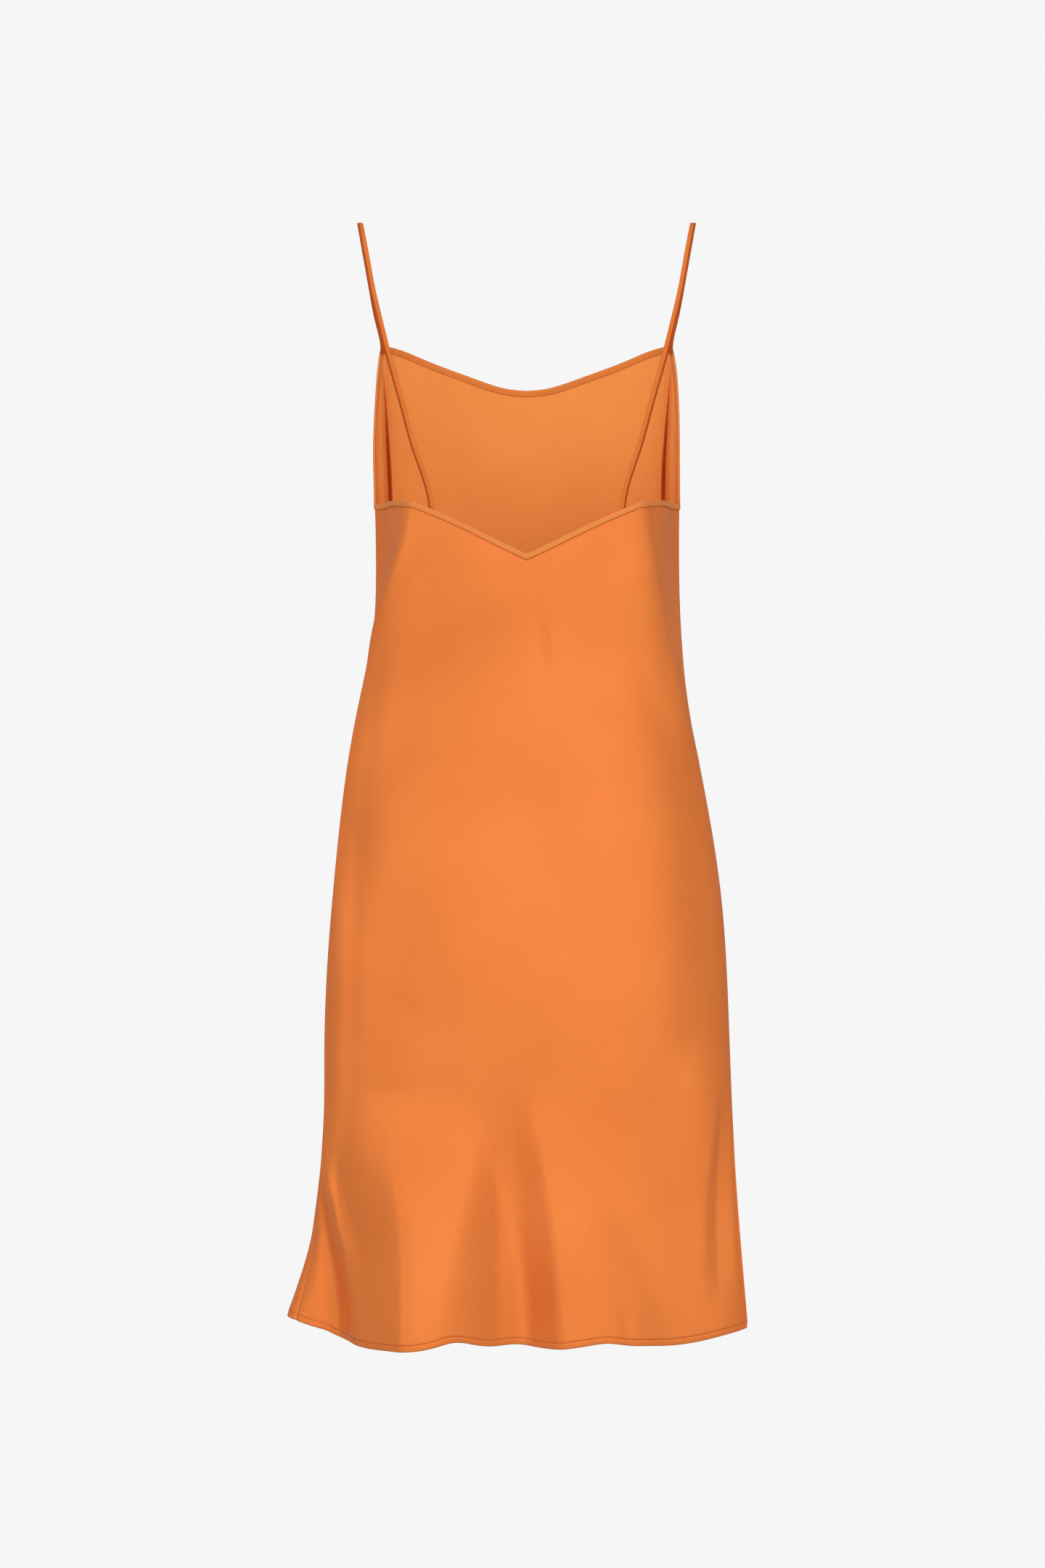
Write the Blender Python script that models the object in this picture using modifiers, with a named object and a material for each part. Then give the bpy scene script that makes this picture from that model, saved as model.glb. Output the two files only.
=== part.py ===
"""A bias-cut slip dress, filled out as it is worn and hanging from its two shoulder straps.

Frame: metres, +Z up. The wearer faces -Y, with the left hand at +X. The origin is the midpoint
between the tops of the straps, where the shoulders carry the dress.

The two panels and their bindings all lie on one surface. A place on it is named by its angle
round the body (0 left side seam, 90 centre back, 180 right side seam, 270 centre front) and by
its drop, the height below the tops of the straps.
"""

import math
from bisect import bisect_right
from collections import namedtuple

import bpy
import numpy as np
from mathutils import Vector

# ---------------------------------------------------------------- sizes of cloth and trims

WALL = 0.0016             # panel cloth
BINDING_WALL = 0.0020     # folded binding strip
END_GAP = 0.00015         # cut from both ends of every binding
SIDE_GAP = 0.0004         # between the panels at a side seam
SEAM_GAP = 0.00035        # between a panel's raw edge and its binding
FRONT_BINDING = 0.0060    # height of the binding along the front neckline
BACK_BINDING = 0.0050     # height of the binding along the back neckline and under the arm
STRAP_WIDTH = 0.0056
STRAP_WALL = 0.0016
STRAP_EDGE = 0.0005       # rounding of the strap's long edges
STRAP_EDGE_ANGLE = 60     # corners sharper than this, in degrees, are rounded
STRAP_TUCK = 0.0090       # how far a strap's end reaches down behind the binding
STRAP_CLEARANCE = 0.0015  # between the strap's end and the cloth it is sewn behind

# ---------------------------------------------------------------- form of the dress

# One row per level: half-widths to the wearer's left and right, depths behind and in front of
# the side seams, and how square the ring is behind and in front (2 is an ellipse).
Section = namedtuple("Section", "drop left right back front back_square front_square")
SECTIONS = (
    Section(0.090, 0.1480, 0.1478, 0.072, 0.1000, 3.0, 5.0),
    Section(0.150, 0.1458, 0.1468, 0.080, 0.1085, 3.0, 4.8),
    Section(0.205, 0.1456, 0.1455, 0.087, 0.1150, 3.0, 4.4),
    Section(0.262, 0.1430, 0.1440, 0.090, 0.1185, 3.0, 3.9),
    Section(0.320, 0.1418, 0.1436, 0.087, 0.1155, 2.9, 3.3),
    Section(0.365, 0.1428, 0.1446, 0.084, 0.1115, 2.7, 2.9),
    Section(0.405, 0.1478, 0.1468, 0.082, 0.1085, 2.6, 2.6),
    Section(0.445, 0.1560, 0.1508, 0.083, 0.1070, 2.6, 2.5),
    Section(0.505, 0.1670, 0.1608, 0.089, 0.1065, 2.6, 2.4),
    Section(0.565, 0.1744, 0.1719, 0.098, 0.1075, 2.6, 2.4),
    Section(0.627, 0.1800, 0.1808, 0.106, 0.1090, 2.6, 2.4),
    Section(0.690, 0.1848, 0.1855, 0.111, 0.1100, 2.6, 2.4),
    Section(0.760, 0.1873, 0.1882, 0.111, 0.1100, 2.6, 2.4),
    Section(0.830, 0.1880, 0.1902, 0.111, 0.1105, 2.6, 2.4),
    Section(0.900, 0.1926, 0.1938, 0.113, 0.1125, 2.6, 2.4),
    Section(0.970, 0.1955, 0.1992, 0.116, 0.1165, 2.6, 2.4),
    Section(1.045, 0.1990, 0.2054, 0.119, 0.1220, 2.6, 2.4),
)

# Folds that run down the dress, each through its bends: `rise` is how far its crest stands out
# (+) or sinks in (-), `before` and `after` how far it reaches each way in degrees. The two
# `crest` powers round it on either side (1 a plane side, 2 a bowed one), `flat` is the share of
# each reach its crest keeps level and `soft` rounds its two outer edges. A fold moves the cloth
# out from the body, or straight to the back.
Bend = namedtuple("Bend", "drop angle before after rise")
Fold = namedtuple("Fold", "way crest_before crest_after flat soft bends")
OUT, BACK = "out", "back"
ROUND = 0.08              # how far a crest is rounded, as a share of its reach
FOLDS = {
    "left armhole side": Fold(OUT, 2.0, 2.0, 0.0, 0.08, (
        Bend(0.200, 23, 23, 27, -0.0080),
        Bend(0.262, 23, 23, 25.5, -0.0120),
        Bend(0.298, 22, 22, 23.5, -0.0120),
        Bend(0.351, 16, 16, 17, -0.0062),
        Bend(0.385, 10, 10, 11, -0.0025),
        Bend(0.420, 6, 6, 6, 0.0),
    )),
    "left armhole ridge": Fold(OUT, 1.6, 1.6, 0.0, 0.3, (
        Bend(0.262, 47, 4, 14, 0.0020),
        Bend(0.298, 43, 4, 14, 0.0030),
        Bend(0.351, 29, 5, 16, 0.0055),
        Bend(0.385, 20, 7, 20, 0.0040),
        Bend(0.430, 18, 12, 22, 0.0),
    )),
    "right armhole side": Fold(OUT, 2.0, 2.0, 0.0, 0.08, (
        Bend(0.200, 157, 27.5, 23, -0.0080),
        Bend(0.262, 157, 26, 23, -0.0100),
        Bend(0.298, 158, 23.5, 22, -0.0095),
        Bend(0.371, 161, 18, 19, -0.0060),
        Bend(0.444, 167, 12, 13, -0.0020),
        Bend(0.500, 170, 10, 10, 0.0),
    )),
    "right armhole ridge": Fold(OUT, 1.6, 1.6, 0.0, 0.3, (
        Bend(0.262, 132, 14, 4, 0.0020),
        Bend(0.298, 134, 14, 4, 0.0030),
        Bend(0.371, 141, 16, 5, 0.0040),
        Bend(0.444, 150, 16, 7, 0.0030),
        Bend(0.500, 156, 14, 8, 0.0),
    )),
    "left side": Fold(BACK, 1.3, 0.9, 0.0, 0.1, (
        Bend(0.330, 6, 8, 24, 0.0),
        Bend(0.400, 6, 9, 26, 0.0075),
        Bend(0.470, 5, 9, 28, 0.0120),
        Bend(0.540, 5, 9, 29, 0.0200),
        Bend(0.600, 5, 9, 30, 0.0290),
        Bend(0.660, 5, 9, 31, 0.0360),
        Bend(0.720, 5, 9, 32, 0.0380),
        Bend(0.777, 5, 9, 32, 0.0420),
        Bend(0.845, 5, 9, 31, 0.0390),
        Bend(0.885, 6, 9, 27, 0.0330),
        Bend(0.915, 7, 9, 22, 0.0150),
        Bend(0.940, 8, 8, 20, 0.0),
    )),
    "left waist": Fold(BACK, 1.8, 1.3, 0.0, 0.15, (
        Bend(0.360, 25, 18, 24, 0.0),
        Bend(0.430, 26, 20, 28, -0.0070),
        Bend(0.500, 27, 22, 30, -0.0105),
        Bend(0.572, 28, 22, 28, -0.0090),
        Bend(0.640, 34, 20, 24, 0.0),
        Bend(0.709, 38, 20, 26, 0.0045),
        Bend(0.777, 38, 20, 28, 0.0060),
        Bend(0.845, 38, 18, 22, 0.0035),
        Bend(0.885, 40, 16, 18, 0.0),
    )),
    "right side": Fold(BACK, 0.65, 1.3, 0.0, 0.1, (
        Bend(0.320, 174, 22, 6, 0.0),
        Bend(0.400, 175, 28, 9, 0.0150),
        Bend(0.457, 175, 34, 10, 0.0230),
        Bend(0.538, 176, 32, 10, 0.0290),
        Bend(0.606, 176, 30, 10, 0.0310),
        Bend(0.674, 176, 32, 10, 0.0370),
        Bend(0.742, 176, 36, 10, 0.0380),
        Bend(0.810, 176, 47, 10, 0.0500),
        Bend(0.851, 176, 47, 10, 0.0580),
        Bend(0.920, 176, 44, 10, 0.0630),
        Bend(1.045, 176, 43, 10, 0.0690),
    )),
    "left drag": Fold(OUT, 1.6, 1.6, 0.0, 0.3, (
        Bend(0.345, 88, 20, 20, 0.0),
        Bend(0.400, 73, 20, 20, -0.0060),
        Bend(0.452, 59, 20, 20, -0.0090),
        Bend(0.505, 45, 20, 20, -0.0060),
        Bend(0.560, 30, 18, 18, 0.0),
    )),
    "left front corner": Fold(BACK, 1.2, 1.0, 0.0, 0.2, (
        Bend(0.140, 318, 11, 6, 0.0),
        Bend(0.170, 318, 11, 6, -0.0030),
        Bend(0.262, 318, 12, 7, -0.0070),
        Bend(0.330, 318, 12, 8, -0.0050),
        Bend(0.430, 318, 12, 9, 0.0),
    )),
    "left front shelf": Fold(BACK, 1.0, 1.0, 0.0, 0.2, (
        Bend(0.140, 326, 7, 9, 0.0),
        Bend(0.170, 326, 7, 9, 0.0030),
        Bend(0.262, 327, 7, 10, 0.0070),
        Bend(0.330, 326, 8, 11, 0.0060),
        Bend(0.430, 324, 9, 12, 0.0),
    )),
    "right front corner": Fold(BACK, 1.0, 1.2, 0.0, 0.2, (
        Bend(0.140, 222, 6, 11, 0.0),
        Bend(0.170, 222, 6, 11, -0.0030),
        Bend(0.262, 222, 7, 12, -0.0070),
        Bend(0.330, 222, 8, 12, -0.0050),
        Bend(0.430, 222, 9, 12, 0.0),
    )),
    "right front shelf": Fold(BACK, 1.0, 1.0, 0.0, 0.2, (
        Bend(0.140, 214, 9, 7, 0.0),
        Bend(0.170, 214, 9, 7, 0.0030),
        Bend(0.262, 213, 10, 7, 0.0070),
        Bend(0.330, 214, 11, 8, 0.0060),
        Bend(0.430, 216, 12, 9, 0.0),
    )),
    "left rim": Fold(BACK, 1.2, 1.2, 0.0, 0.2, (
        Bend(0.860, 17, 12, 24, 0.0),
        Bend(0.885, 20, 12, 20, 0.0040),
        Bend(0.907, 25, 12, 18, 0.0110),
        Bend(0.939, 32, 12, 16, 0.0100),
        Bend(0.978, 38, 11, 14, 0.0060),
        Bend(1.045, 43, 10, 12, 0.0020),
    )),
    "left flute": Fold(OUT, 0.8, 1.3, 0.0, 0.08, (
        Bend(0.800, 50, 16, 22, 0.0),
        Bend(0.835, 52.5, 20, 24, 0.0060),
        Bend(0.865, 55, 24, 25, 0.0160),
        Bend(0.901, 58, 26, 26, 0.0260),
        Bend(0.947, 59.9, 24, 27, 0.0310),
        Bend(0.985, 60.4, 22, 28, 0.0350),
        Bend(1.045, 60.8, 20, 29, 0.0390),
    )),
    "left flank": Fold(BACK, 1.5, 1.5, 0.0, 0.2, (
        Bend(0.860, 42, 14, 14, 0.0),
        Bend(0.901, 43, 13, 15, -0.0040),
        Bend(0.965, 45, 13, 15, -0.0060),
        Bend(1.045, 46, 12, 15, -0.0060),
    )),
    "left hollow": Fold(BACK, 1.3, 1.3, 0.0, 0.2, (
        Bend(0.850, 13, 5, 4, 0.0),
        Bend(0.880, 18, 6, 5, -0.0025),
        Bend(0.907, 23, 8, 6, -0.0070),
        Bend(0.939, 28, 9, 7, -0.0110),
        Bend(0.978, 33, 10, 8, -0.0140),
        Bend(1.045, 36, 11, 9, -0.0170),
    )),
    "left flare": Fold(OUT, 1.3, 1.3, 0.0, 0.2, (
        Bend(0.870, 6, 22, 14, 0.0),
        Bend(0.940, 10, 24, 14, 0.0060),
        Bend(1.000, 13.5, 25, 14, 0.0215),
        Bend(1.045, 15, 25, 14, 0.0390),
    )),
    "centre hollow": Fold(OUT, 1.0, 1.0, 0.22, 0.12, (
        Bend(0.780, 84.5, 8, 6, 0.0),
        Bend(0.828, 84.5, 9.5, 7.3, -0.0020),
        Bend(0.867, 84.9, 10, 9, -0.0050),
        Bend(0.934, 85.8, 13.6, 11, -0.0095),
        Bend(1.000, 87, 17.8, 11.3, -0.0130),
        Bend(1.045, 87.4, 19.6, 11.4, -0.0135),
    )),
    "centre flute": Fold(OUT, 0.9, 1.5, 0.0, 0.2, (
        Bend(0.790, 91, 4, 10, 0.0),
        Bend(0.828, 91.8, 4.6, 12, 0.0030),
        Bend(0.867, 94, 6.6, 14, 0.0075),
        Bend(0.934, 97, 9, 20, 0.0125),
        Bend(1.000, 98.7, 9, 25, 0.0155),
        Bend(1.045, 99, 9.2, 27, 0.0170),
    )),
    "right streak": Fold(OUT, 1.1, 1.3, 0.0, 0.15, (
        Bend(0.800, 156, 4, 10, 0.0),
        Bend(0.833, 154, 4, 11, -0.0022),
        Bend(0.873, 151, 4.5, 12, -0.0034),
        Bend(0.920, 148, 4.5, 12, -0.0034),
        Bend(0.960, 146.5, 4.5, 12, -0.0030),
        Bend(0.985, 145.5, 5, 12, -0.0014),
        Bend(1.010, 145, 6, 12, 0.0),
    )),
    "front right edge": Fold(OUT, 1.6, 1.6, 0.0, 0.3, (
        Bend(0.820, 216, 12, 14, 0.0),
        Bend(1.045, 212, 12, 14, -0.0130),
    )),
    "front right flute": Fold(OUT, 1.6, 1.6, 0.0, 0.3, (
        Bend(0.780, 240, 13, 12, 0.0),
        Bend(1.045, 236, 13, 12, 0.0260),
    )),
    "front right hollow": Fold(OUT, 1.6, 1.6, 0.0, 0.3, (
        Bend(0.840, 262, 11, 13, 0.0),
        Bend(1.045, 258, 11, 13, -0.0170),
    )),
    "front left flute": Fold(OUT, 1.6, 1.6, 0.0, 0.3, (
        Bend(0.800, 280, 12, 14, 0.0),
        Bend(1.045, 284, 12, 14, 0.0220),
    )),
    "front left hollow": Fold(OUT, 1.6, 1.6, 0.0, 0.3, (
        Bend(0.850, 304, 12, 10, 0.0),
        Bend(1.045, 309, 12, 10, -0.0180),
    )),
}

# The side seams' own places: in degrees from 0 at the left and from 180 at the right.
Seam = namedtuple("Seam", "drop left right")
SEAMS = (
    Seam(0.250, 0.0, 0.0),
    Seam(0.500, 0.0, 0.0),
    Seam(0.720, 0.0, 0.0),
    Seam(0.860, 4.0, 0.0),
    Seam(0.940, 13.5, 0.0),
    Seam(1.045, 20.3, 0.0),
)

# The hem's level round the body.
Level = namedtuple("Level", "angle drop")
HEM = (
    Level(-100, 1.0330),
    Level(-45, 1.0300),
    Level(-8, 1.0170),
    Level(0, 1.0203),
    Level(7, 1.0256),
    Level(14, 1.0316),
    Level(20, 1.0351),
    Level(35, 1.0374),
    Level(48, 1.0362),
    Level(59, 1.0288),
    Level(64, 1.0290),
    Level(75, 1.0331),
    Level(87, 1.0351),
    Level(101, 1.0301),
    Level(118, 1.0351),
    Level(128, 1.0337),
    Level(140, 1.0292),
    Level(155, 1.0257),
    Level(170, 1.0238),
    Level(180, 1.0235),
    Level(225, 1.0310),
    Level(260, 1.0330),
)

# The finished upper edge of one side, by degrees from that side's seam: minus to the front,
# plus to the back. The other side mirrors it.
APEX = -38.5              # where the strap leaves the front
CORNER = 50.0             # where the armhole turns into the back neckline
Edge = namedtuple("Edge", "turn drop")
FRONT_NECK = (
    Edge(-90.0, 0.1454),
    Edge(-83.0, 0.1437),
    Edge(-70.0, 0.1328),
    Edge(-56.0, 0.1171),
    Edge(-50.5, 0.1103),
    Edge(-45.0, 0.1063),
    Edge(APEX, 0.1050),
)
ARMHOLE = (
    Edge(APEX, 0.1050),
    Edge(-34.0, 0.1270),
    Edge(-28.0, 0.1600),
    Edge(-20.0, 0.2030),
    Edge(-11.0, 0.2410),
    Edge(-4.0, 0.2590),
    Edge(3.0, 0.2630),
    Edge(20.0, 0.2630),
    Edge(38.0, 0.2635),
    Edge(CORNER, 0.2665),
)
BACK_NECK = (
    Edge(CORNER, 0.2665),
    Edge(57.0, 0.2720),
    Edge(71.0, 0.2880),
    Edge(90.0, 0.3145),
)

# The left strap's middle line, from the front over the shoulder to the back. Its width lies
# level, turned from the X axis by `turn` degrees. The right strap mirrors it.
Station = namedtuple("Station", "x y z turn")
STRAP_FREE = (
    Station(0.1413, -0.0720, -0.088, 40),
    Station(0.1474, -0.0575, -0.055, 30),
    Station(0.1526, -0.0380, -0.023, 14),
    Station(0.1557, -0.0140, -0.003, 4),
    Station(0.1560, 0.0000, 0.0, 0),
    Station(0.1546, 0.0130, -0.006, 0),
    Station(0.1492, 0.0300, -0.033, -2),
    Station(0.1423, 0.0490, -0.069, -4),
    Station(0.1339, 0.0600, -0.104, -6),
    Station(0.1298, 0.0645, -0.1205, -7),
    Station(0.1135, 0.0745, -0.179, -10),
    Station(0.1022, 0.0795, -0.2193, -14),
)
STRAP_FRONT_TURN = APEX - 1.0   # where its ends are, by degrees from the side seam
STRAP_BACK_TURN = 56.0
STRAP_FRONT_TWIST = 54          # and how the ends' width is turned from the X axis
STRAP_BACK_TWIST = -17

# ---------------------------------------------------------------- how finely it is divided

PANEL_ROWS = 24
NECK_STEPS = 9            # half of the front neckline
ARM_FRONT_STEPS = 8
ARM_BACK_STEPS = 10
BACK_NECK_STEPS = 11      # half of the back neckline
STRAP_STEPS = 26
PROBE = 0.001             # the short length over which a slope is measured

# ---------------------------------------------------------------- colours

SATIN = (0.80, 0.22, 0.05, 1.0)
SATIN_SHADE = (0.66, 0.16, 0.035, 1.0)
PANEL_ROUGHNESS = 0.42
TRIM_ROUGHNESS = 0.50

COLLECTION = "slip_dress"


class Spline:
    """A natural cubic spline through named keys and values, held level beyond its ends."""

    def __init__(self, keys, values):
        self.keys = np.array(keys, float)
        self.values = np.array(values, float)
        spans = np.diff(self.keys)
        slopes = np.diff(self.values) / spans
        size = len(self.keys)
        matrix = np.eye(size)
        target = np.zeros(size)
        for row in range(1, size - 1):
            matrix[row, row - 1] = spans[row - 1]
            matrix[row, row] = 2 * (spans[row - 1] + spans[row])
            matrix[row, row + 1] = spans[row]
            target[row] = 6 * (slopes[row] - slopes[row - 1])
        self.bends = np.linalg.solve(matrix, target)

    def __call__(self, key):
        key = min(max(key, self.keys[0]), self.keys[-1])
        low = min(int(np.searchsorted(self.keys, key, side="right")), len(self.keys) - 1) - 1
        span = self.keys[low + 1] - self.keys[low]
        far = (key - self.keys[low]) / span
        near = 1 - far
        bend = (near**3 - near) * self.bends[low] + (far**3 - far) * self.bends[low + 1]
        return near * self.values[low] + far * self.values[low + 1] + bend * span**2 / 6


def column(rows, key, value):
    """The spline through one column of a table, over another column."""
    return Spline([getattr(row, key) for row in rows], [getattr(row, value) for row in rows])


def eased(keys, values):
    """A curve from value to value that never overshoots, level at its start and beyond its ends."""
    rates = [
        (values[place + 1] - values[place]) / (keys[place + 1] - keys[place])
        for place in range(len(keys) - 1)
    ]
    slopes = [0.0]
    for here, ahead in zip(rates, rates[1:]):
        slopes.append(2 * here * ahead / (here + ahead) if here * ahead > 0 else 0.0)
    slopes.append(rates[-1])

    def curve(key):
        key = min(max(key, keys[0]), keys[-1])
        low = min(bisect_right(keys, key), len(keys) - 1) - 1
        span = keys[low + 1] - keys[low]
        part = (key - keys[low]) / span
        left = part * part * (3 - 2 * part)
        lean = part * (1 - part) * span * ((1 - part) * slopes[low] - part * slopes[low + 1])
        return values[low] * (1 - left) + values[low + 1] * left + lean

    return curve


SECTION_CURVES = {name: column(SECTIONS, "drop", name) for name in Section._fields[1:]}
SEAM_CURVES = {
    name: eased([row.drop for row in SEAMS], [getattr(row, name) for row in SEAMS])
    for name in Seam._fields[1:]
}
HEM_CURVE = column(HEM, "angle", "drop")
FRONT_NECK_CURVE = column(FRONT_NECK, "turn", "drop")
ARMHOLE_CURVE = column(ARMHOLE, "turn", "drop")
BACK_NECK_CURVE = column(BACK_NECK, "turn", "drop")


def fold_curves(fold):
    """A fold's angle, reaches and rise as curves over the drop."""
    drops = [bend.drop for bend in fold.bends]
    kinds = (("angle", Spline), ("before", eased), ("after", eased), ("rise", eased))
    return [kind(drops, [getattr(bend, name) for bend in fold.bends]) for name, kind in kinds]


FOLD_CURVES = [(fold, fold_curves(fold)) for fold in FOLDS.values()]


def fold_rise(angle, drop):
    """How far the folds move the surface outward, and straight to the back, at one place."""
    total = {OUT: 0.0, BACK: 0.0}
    for fold, (middle, before, after, rise) in FOLD_CURVES:
        height = rise(drop)
        if height == 0.0:
            continue
        away = (angle - middle(drop) + 180) % 360 - 180
        spread, crest = (
            (before(drop), fold.crest_before) if away < 0 else (after(drop), fold.crest_after)
        )
        share = max(abs(away / spread) - fold.flat, 0.0) / (1 - fold.flat)
        share = (math.hypot(share, ROUND) - ROUND) / (math.hypot(1, ROUND) - ROUND)
        inside = 1 - share**crest
        height *= (inside + math.hypot(inside, fold.soft)) / (1 + math.hypot(1, fold.soft))
        total[fold.way] += height
    return total[OUT], total[BACK]


def surface(angle, drop, out=0.0):
    """The point of the dress's outer surface at an angle and drop, moved outward by `out`."""
    cosine = math.cos(math.radians(angle))
    sine = math.sin(math.radians(angle))
    half_width = SECTION_CURVES["left" if cosine > 0 else "right"](drop)
    behind = "back" if sine > 0 else "front"
    depth = SECTION_CURVES[behind](drop)
    square = SECTION_CURVES[behind + "_square"](drop)
    reach = (abs(cosine) ** square + abs(sine) ** square) ** (-1 / square)
    across = reach * cosine
    along = reach * sine
    normal = Vector(
        (
            math.copysign(abs(across) ** (square - 1) / half_width, across),
            math.copysign(abs(along) ** (square - 1) / depth, along),
            0.0,
        )
    ).normalized()
    outward, backward = fold_rise(angle, drop)
    point = Vector((across * half_width, along * depth + backward, -drop))
    return point + normal * (out + outward)


def metres_per_degree(angle, drop):
    """How far the surface runs for one degree of angle, at one place."""
    return (surface(angle + 0.5, drop) - surface(angle - 0.5, drop)).length


def metres_per_drop(angle, drop):
    """How far the surface runs for one metre of drop, at one place."""
    return (surface(angle, drop + PROBE) - surface(angle, drop)).length / PROBE


# ---------------------------------------------------------------- the upper edge


def edge_rows(curve, start, stop, steps):
    """(turn, drop) pairs along one stretch of the finished edge, without its last point."""
    turns = [start + (stop - start) * step / steps for step in range(steps)]
    return [(turn, curve(turn)) for turn in turns]


def upper_edge():
    """The finished upper edge as a closed loop of (angle, drop), from the left front apex
    over the left armhole, the back neckline and the right armhole to the front neckline,
    and the loop's named places."""
    left_armhole = edge_rows(ARMHOLE_CURVE, APEX, 0.0, ARM_FRONT_STEPS)
    left_armhole += edge_rows(ARMHOLE_CURVE, 0.0, CORNER, ARM_BACK_STEPS)
    back_half = edge_rows(BACK_NECK_CURVE, CORNER, 90.0, BACK_NECK_STEPS)
    front_half = edge_rows(FRONT_NECK_CURVE, -90.0, APEX, NECK_STEPS)
    half = left_armhole + back_half
    middle = [(90.0, BACK_NECK[-1].drop)]
    mirrored = [(180.0 - turn, drop) for turn, drop in reversed(half)]
    front_mirrored = [(180.0 - turn, drop) for turn, drop in reversed(front_half)]
    front = front_mirrored + [(turn + 360.0, drop) for turn, drop in front_half[1:]]
    loop = half + middle + mirrored + front
    corner = ARM_FRONT_STEPS + ARM_BACK_STEPS
    back_middle = corner + BACK_NECK_STEPS
    places = {
        "left_apex": 0,
        "left_seam": ARM_FRONT_STEPS,
        "left_corner": corner,
        "right_corner": back_middle + BACK_NECK_STEPS,
        "right_seam": back_middle + BACK_NECK_STEPS + ARM_BACK_STEPS,
        "right_apex": 2 * back_middle,
    }
    return loop, places


def inset(loop, heights, seams):
    """The closed loop moved down into the cloth, square to itself, with mitred corners.
    At the side seams it moves straight down."""
    moved = []
    count = len(loop)
    for here in range(count):
        angle, drop = loop[here]
        if here in seams:
            moved.append((angle, drop + heights[here]))
            continue
        per_degree = metres_per_degree(angle, drop)
        per_drop = metres_per_drop(angle, drop)
        normals = []
        for first, second in ((here - 1, here), (here, (here + 1) % count)):
            turn = (loop[second][0] - loop[first][0] + 180) % 360 - 180
            run = turn * per_degree
            fall = (loop[second][1] - loop[first][1]) * per_drop
            length = math.hypot(run, fall)
            normals.append((-fall / length, run / length))
        mitre = 1 + normals[0][0] * normals[1][0] + normals[0][1] * normals[1][1]
        move = [heights[here] * (normals[0][k] + normals[1][k]) / mitre for k in (0, 1)]
        moved.append((angle + move[0] / per_degree, drop + move[1] / per_drop))
    return moved


def binding_heights(places, count):
    """The binding's height at each point of the upper edge."""
    heights = [FRONT_BINDING] * count
    for here in range(places["left_seam"], places["right_seam"] + 1):
        heights[here] = BACK_BINDING
    step = (FRONT_BINDING - BACK_BINDING) / ARM_FRONT_STEPS
    for here in range(ARM_FRONT_STEPS):
        heights[here] = FRONT_BINDING - step * here
        heights[places["right_apex"] - here] = FRONT_BINDING - step * here
    return heights


# ---------------------------------------------------------------- Blender objects


def material(name, colour, roughness):
    """A plain Principled material."""
    made = bpy.data.materials.new(name)
    made.use_nodes = True
    shader = made.node_tree.nodes["Principled BSDF"]
    shader.inputs["Base Color"].default_value = colour
    shader.inputs["Roughness"].default_value = roughness
    shader.inputs["Metallic"].default_value = 0.0
    return made


def sheet_object(name, grid, wall, offset, colour, roughness):
    """A wall through a grid of points: rows run down the body, columns round it."""
    rows = len(grid)
    columns = len(grid[0])
    points = [point for row in grid for point in row]
    faces = [
        (
            row * columns + place,
            (row + 1) * columns + place,
            (row + 1) * columns + place + 1,
            row * columns + place + 1,
        )
        for row in range(rows - 1)
        for place in range(columns - 1)
    ]
    mesh = bpy.data.meshes.new(name)
    mesh.from_pydata(points, [], faces)
    mesh.shade_smooth()
    mesh.materials.append(material(name, colour, roughness))
    made = bpy.data.objects.new(name, mesh)
    bpy.data.collections[COLLECTION].objects.link(made)
    solid = made.modifiers.new("wall", "SOLIDIFY")
    solid.thickness = wall
    solid.offset = offset
    return made


def panel(name, raw_edge, right_to_left):
    """A panel from its raw upper edge to the hem, between the two side seams."""
    grid = []
    for row in range(PANEL_ROWS + 1):
        fall = row / PANEL_ROWS
        points = []
        for place, (angle, drop) in enumerate(raw_edge):
            share = (angle - raw_edge[0][0]) / 180
            level = drop + (HEM_CURVE(hem_angle(angle)) - drop) * fall
            shifts = SEAM_CURVES["left"](level), SEAM_CURVES["right"](level)
            start, stop = reversed(shifts) if right_to_left else shifts
            angle += start + (stop - start) * share
            half_gap = SIDE_GAP / 2 / metres_per_degree(angle, level)
            angle += {0: half_gap, len(raw_edge) - 1: -half_gap}.get(place, 0.0)
            points.append(surface(angle, level, -WALL))
        grid.append(points)
    return sheet_object(name, grid, WALL, 1.0, SATIN, PANEL_ROUGHNESS)


def hem_angle(angle):
    """The angle as the hem's table counts it."""
    return (angle - HEM[0].angle) % 360 + HEM[0].angle


def drawn_back(points, by):
    """A row of (angle, drop) with both ends moved along it by `by` metres."""
    moved = list(points)
    for end, neighbour in ((0, 1), (-1, -2)):
        start = surface(*points[end])
        share = by / (surface(*points[neighbour]) - start).length
        moved[end] = tuple(
            here + (there - here) * share for here, there in zip(points[end], points[neighbour])
        )
    return moved


def binding(name, finished, lower):
    """A folded strip along a stretch of the upper edge, standing on the panel's raw edge."""
    rows = (drawn_back(finished, END_GAP), drawn_back(lower, END_GAP))
    depth = -(WALL + BINDING_WALL) / 2
    grid = [[surface(angle, drop, depth) for angle, drop in row] for row in rows]
    return sheet_object(name, grid, BINDING_WALL, 1.0, SATIN_SHADE, TRIM_ROUGHNESS)


def strap_end(side, curve, turn, twist):
    """Two stations of the strap's end, behind the finished edge: near it and below it."""
    inner = -(WALL + BINDING_WALL) / 2 - STRAP_CLEARANCE - STRAP_WALL / 2
    angle = turn if side > 0 else 180.0 - turn
    ends = []
    for tuck in (0.0, STRAP_TUCK):
        place = surface(angle, curve(turn) + tuck, inner)
        ends.append(Station(abs(place.x), place.y, place.z, twist))
    return ends


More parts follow.
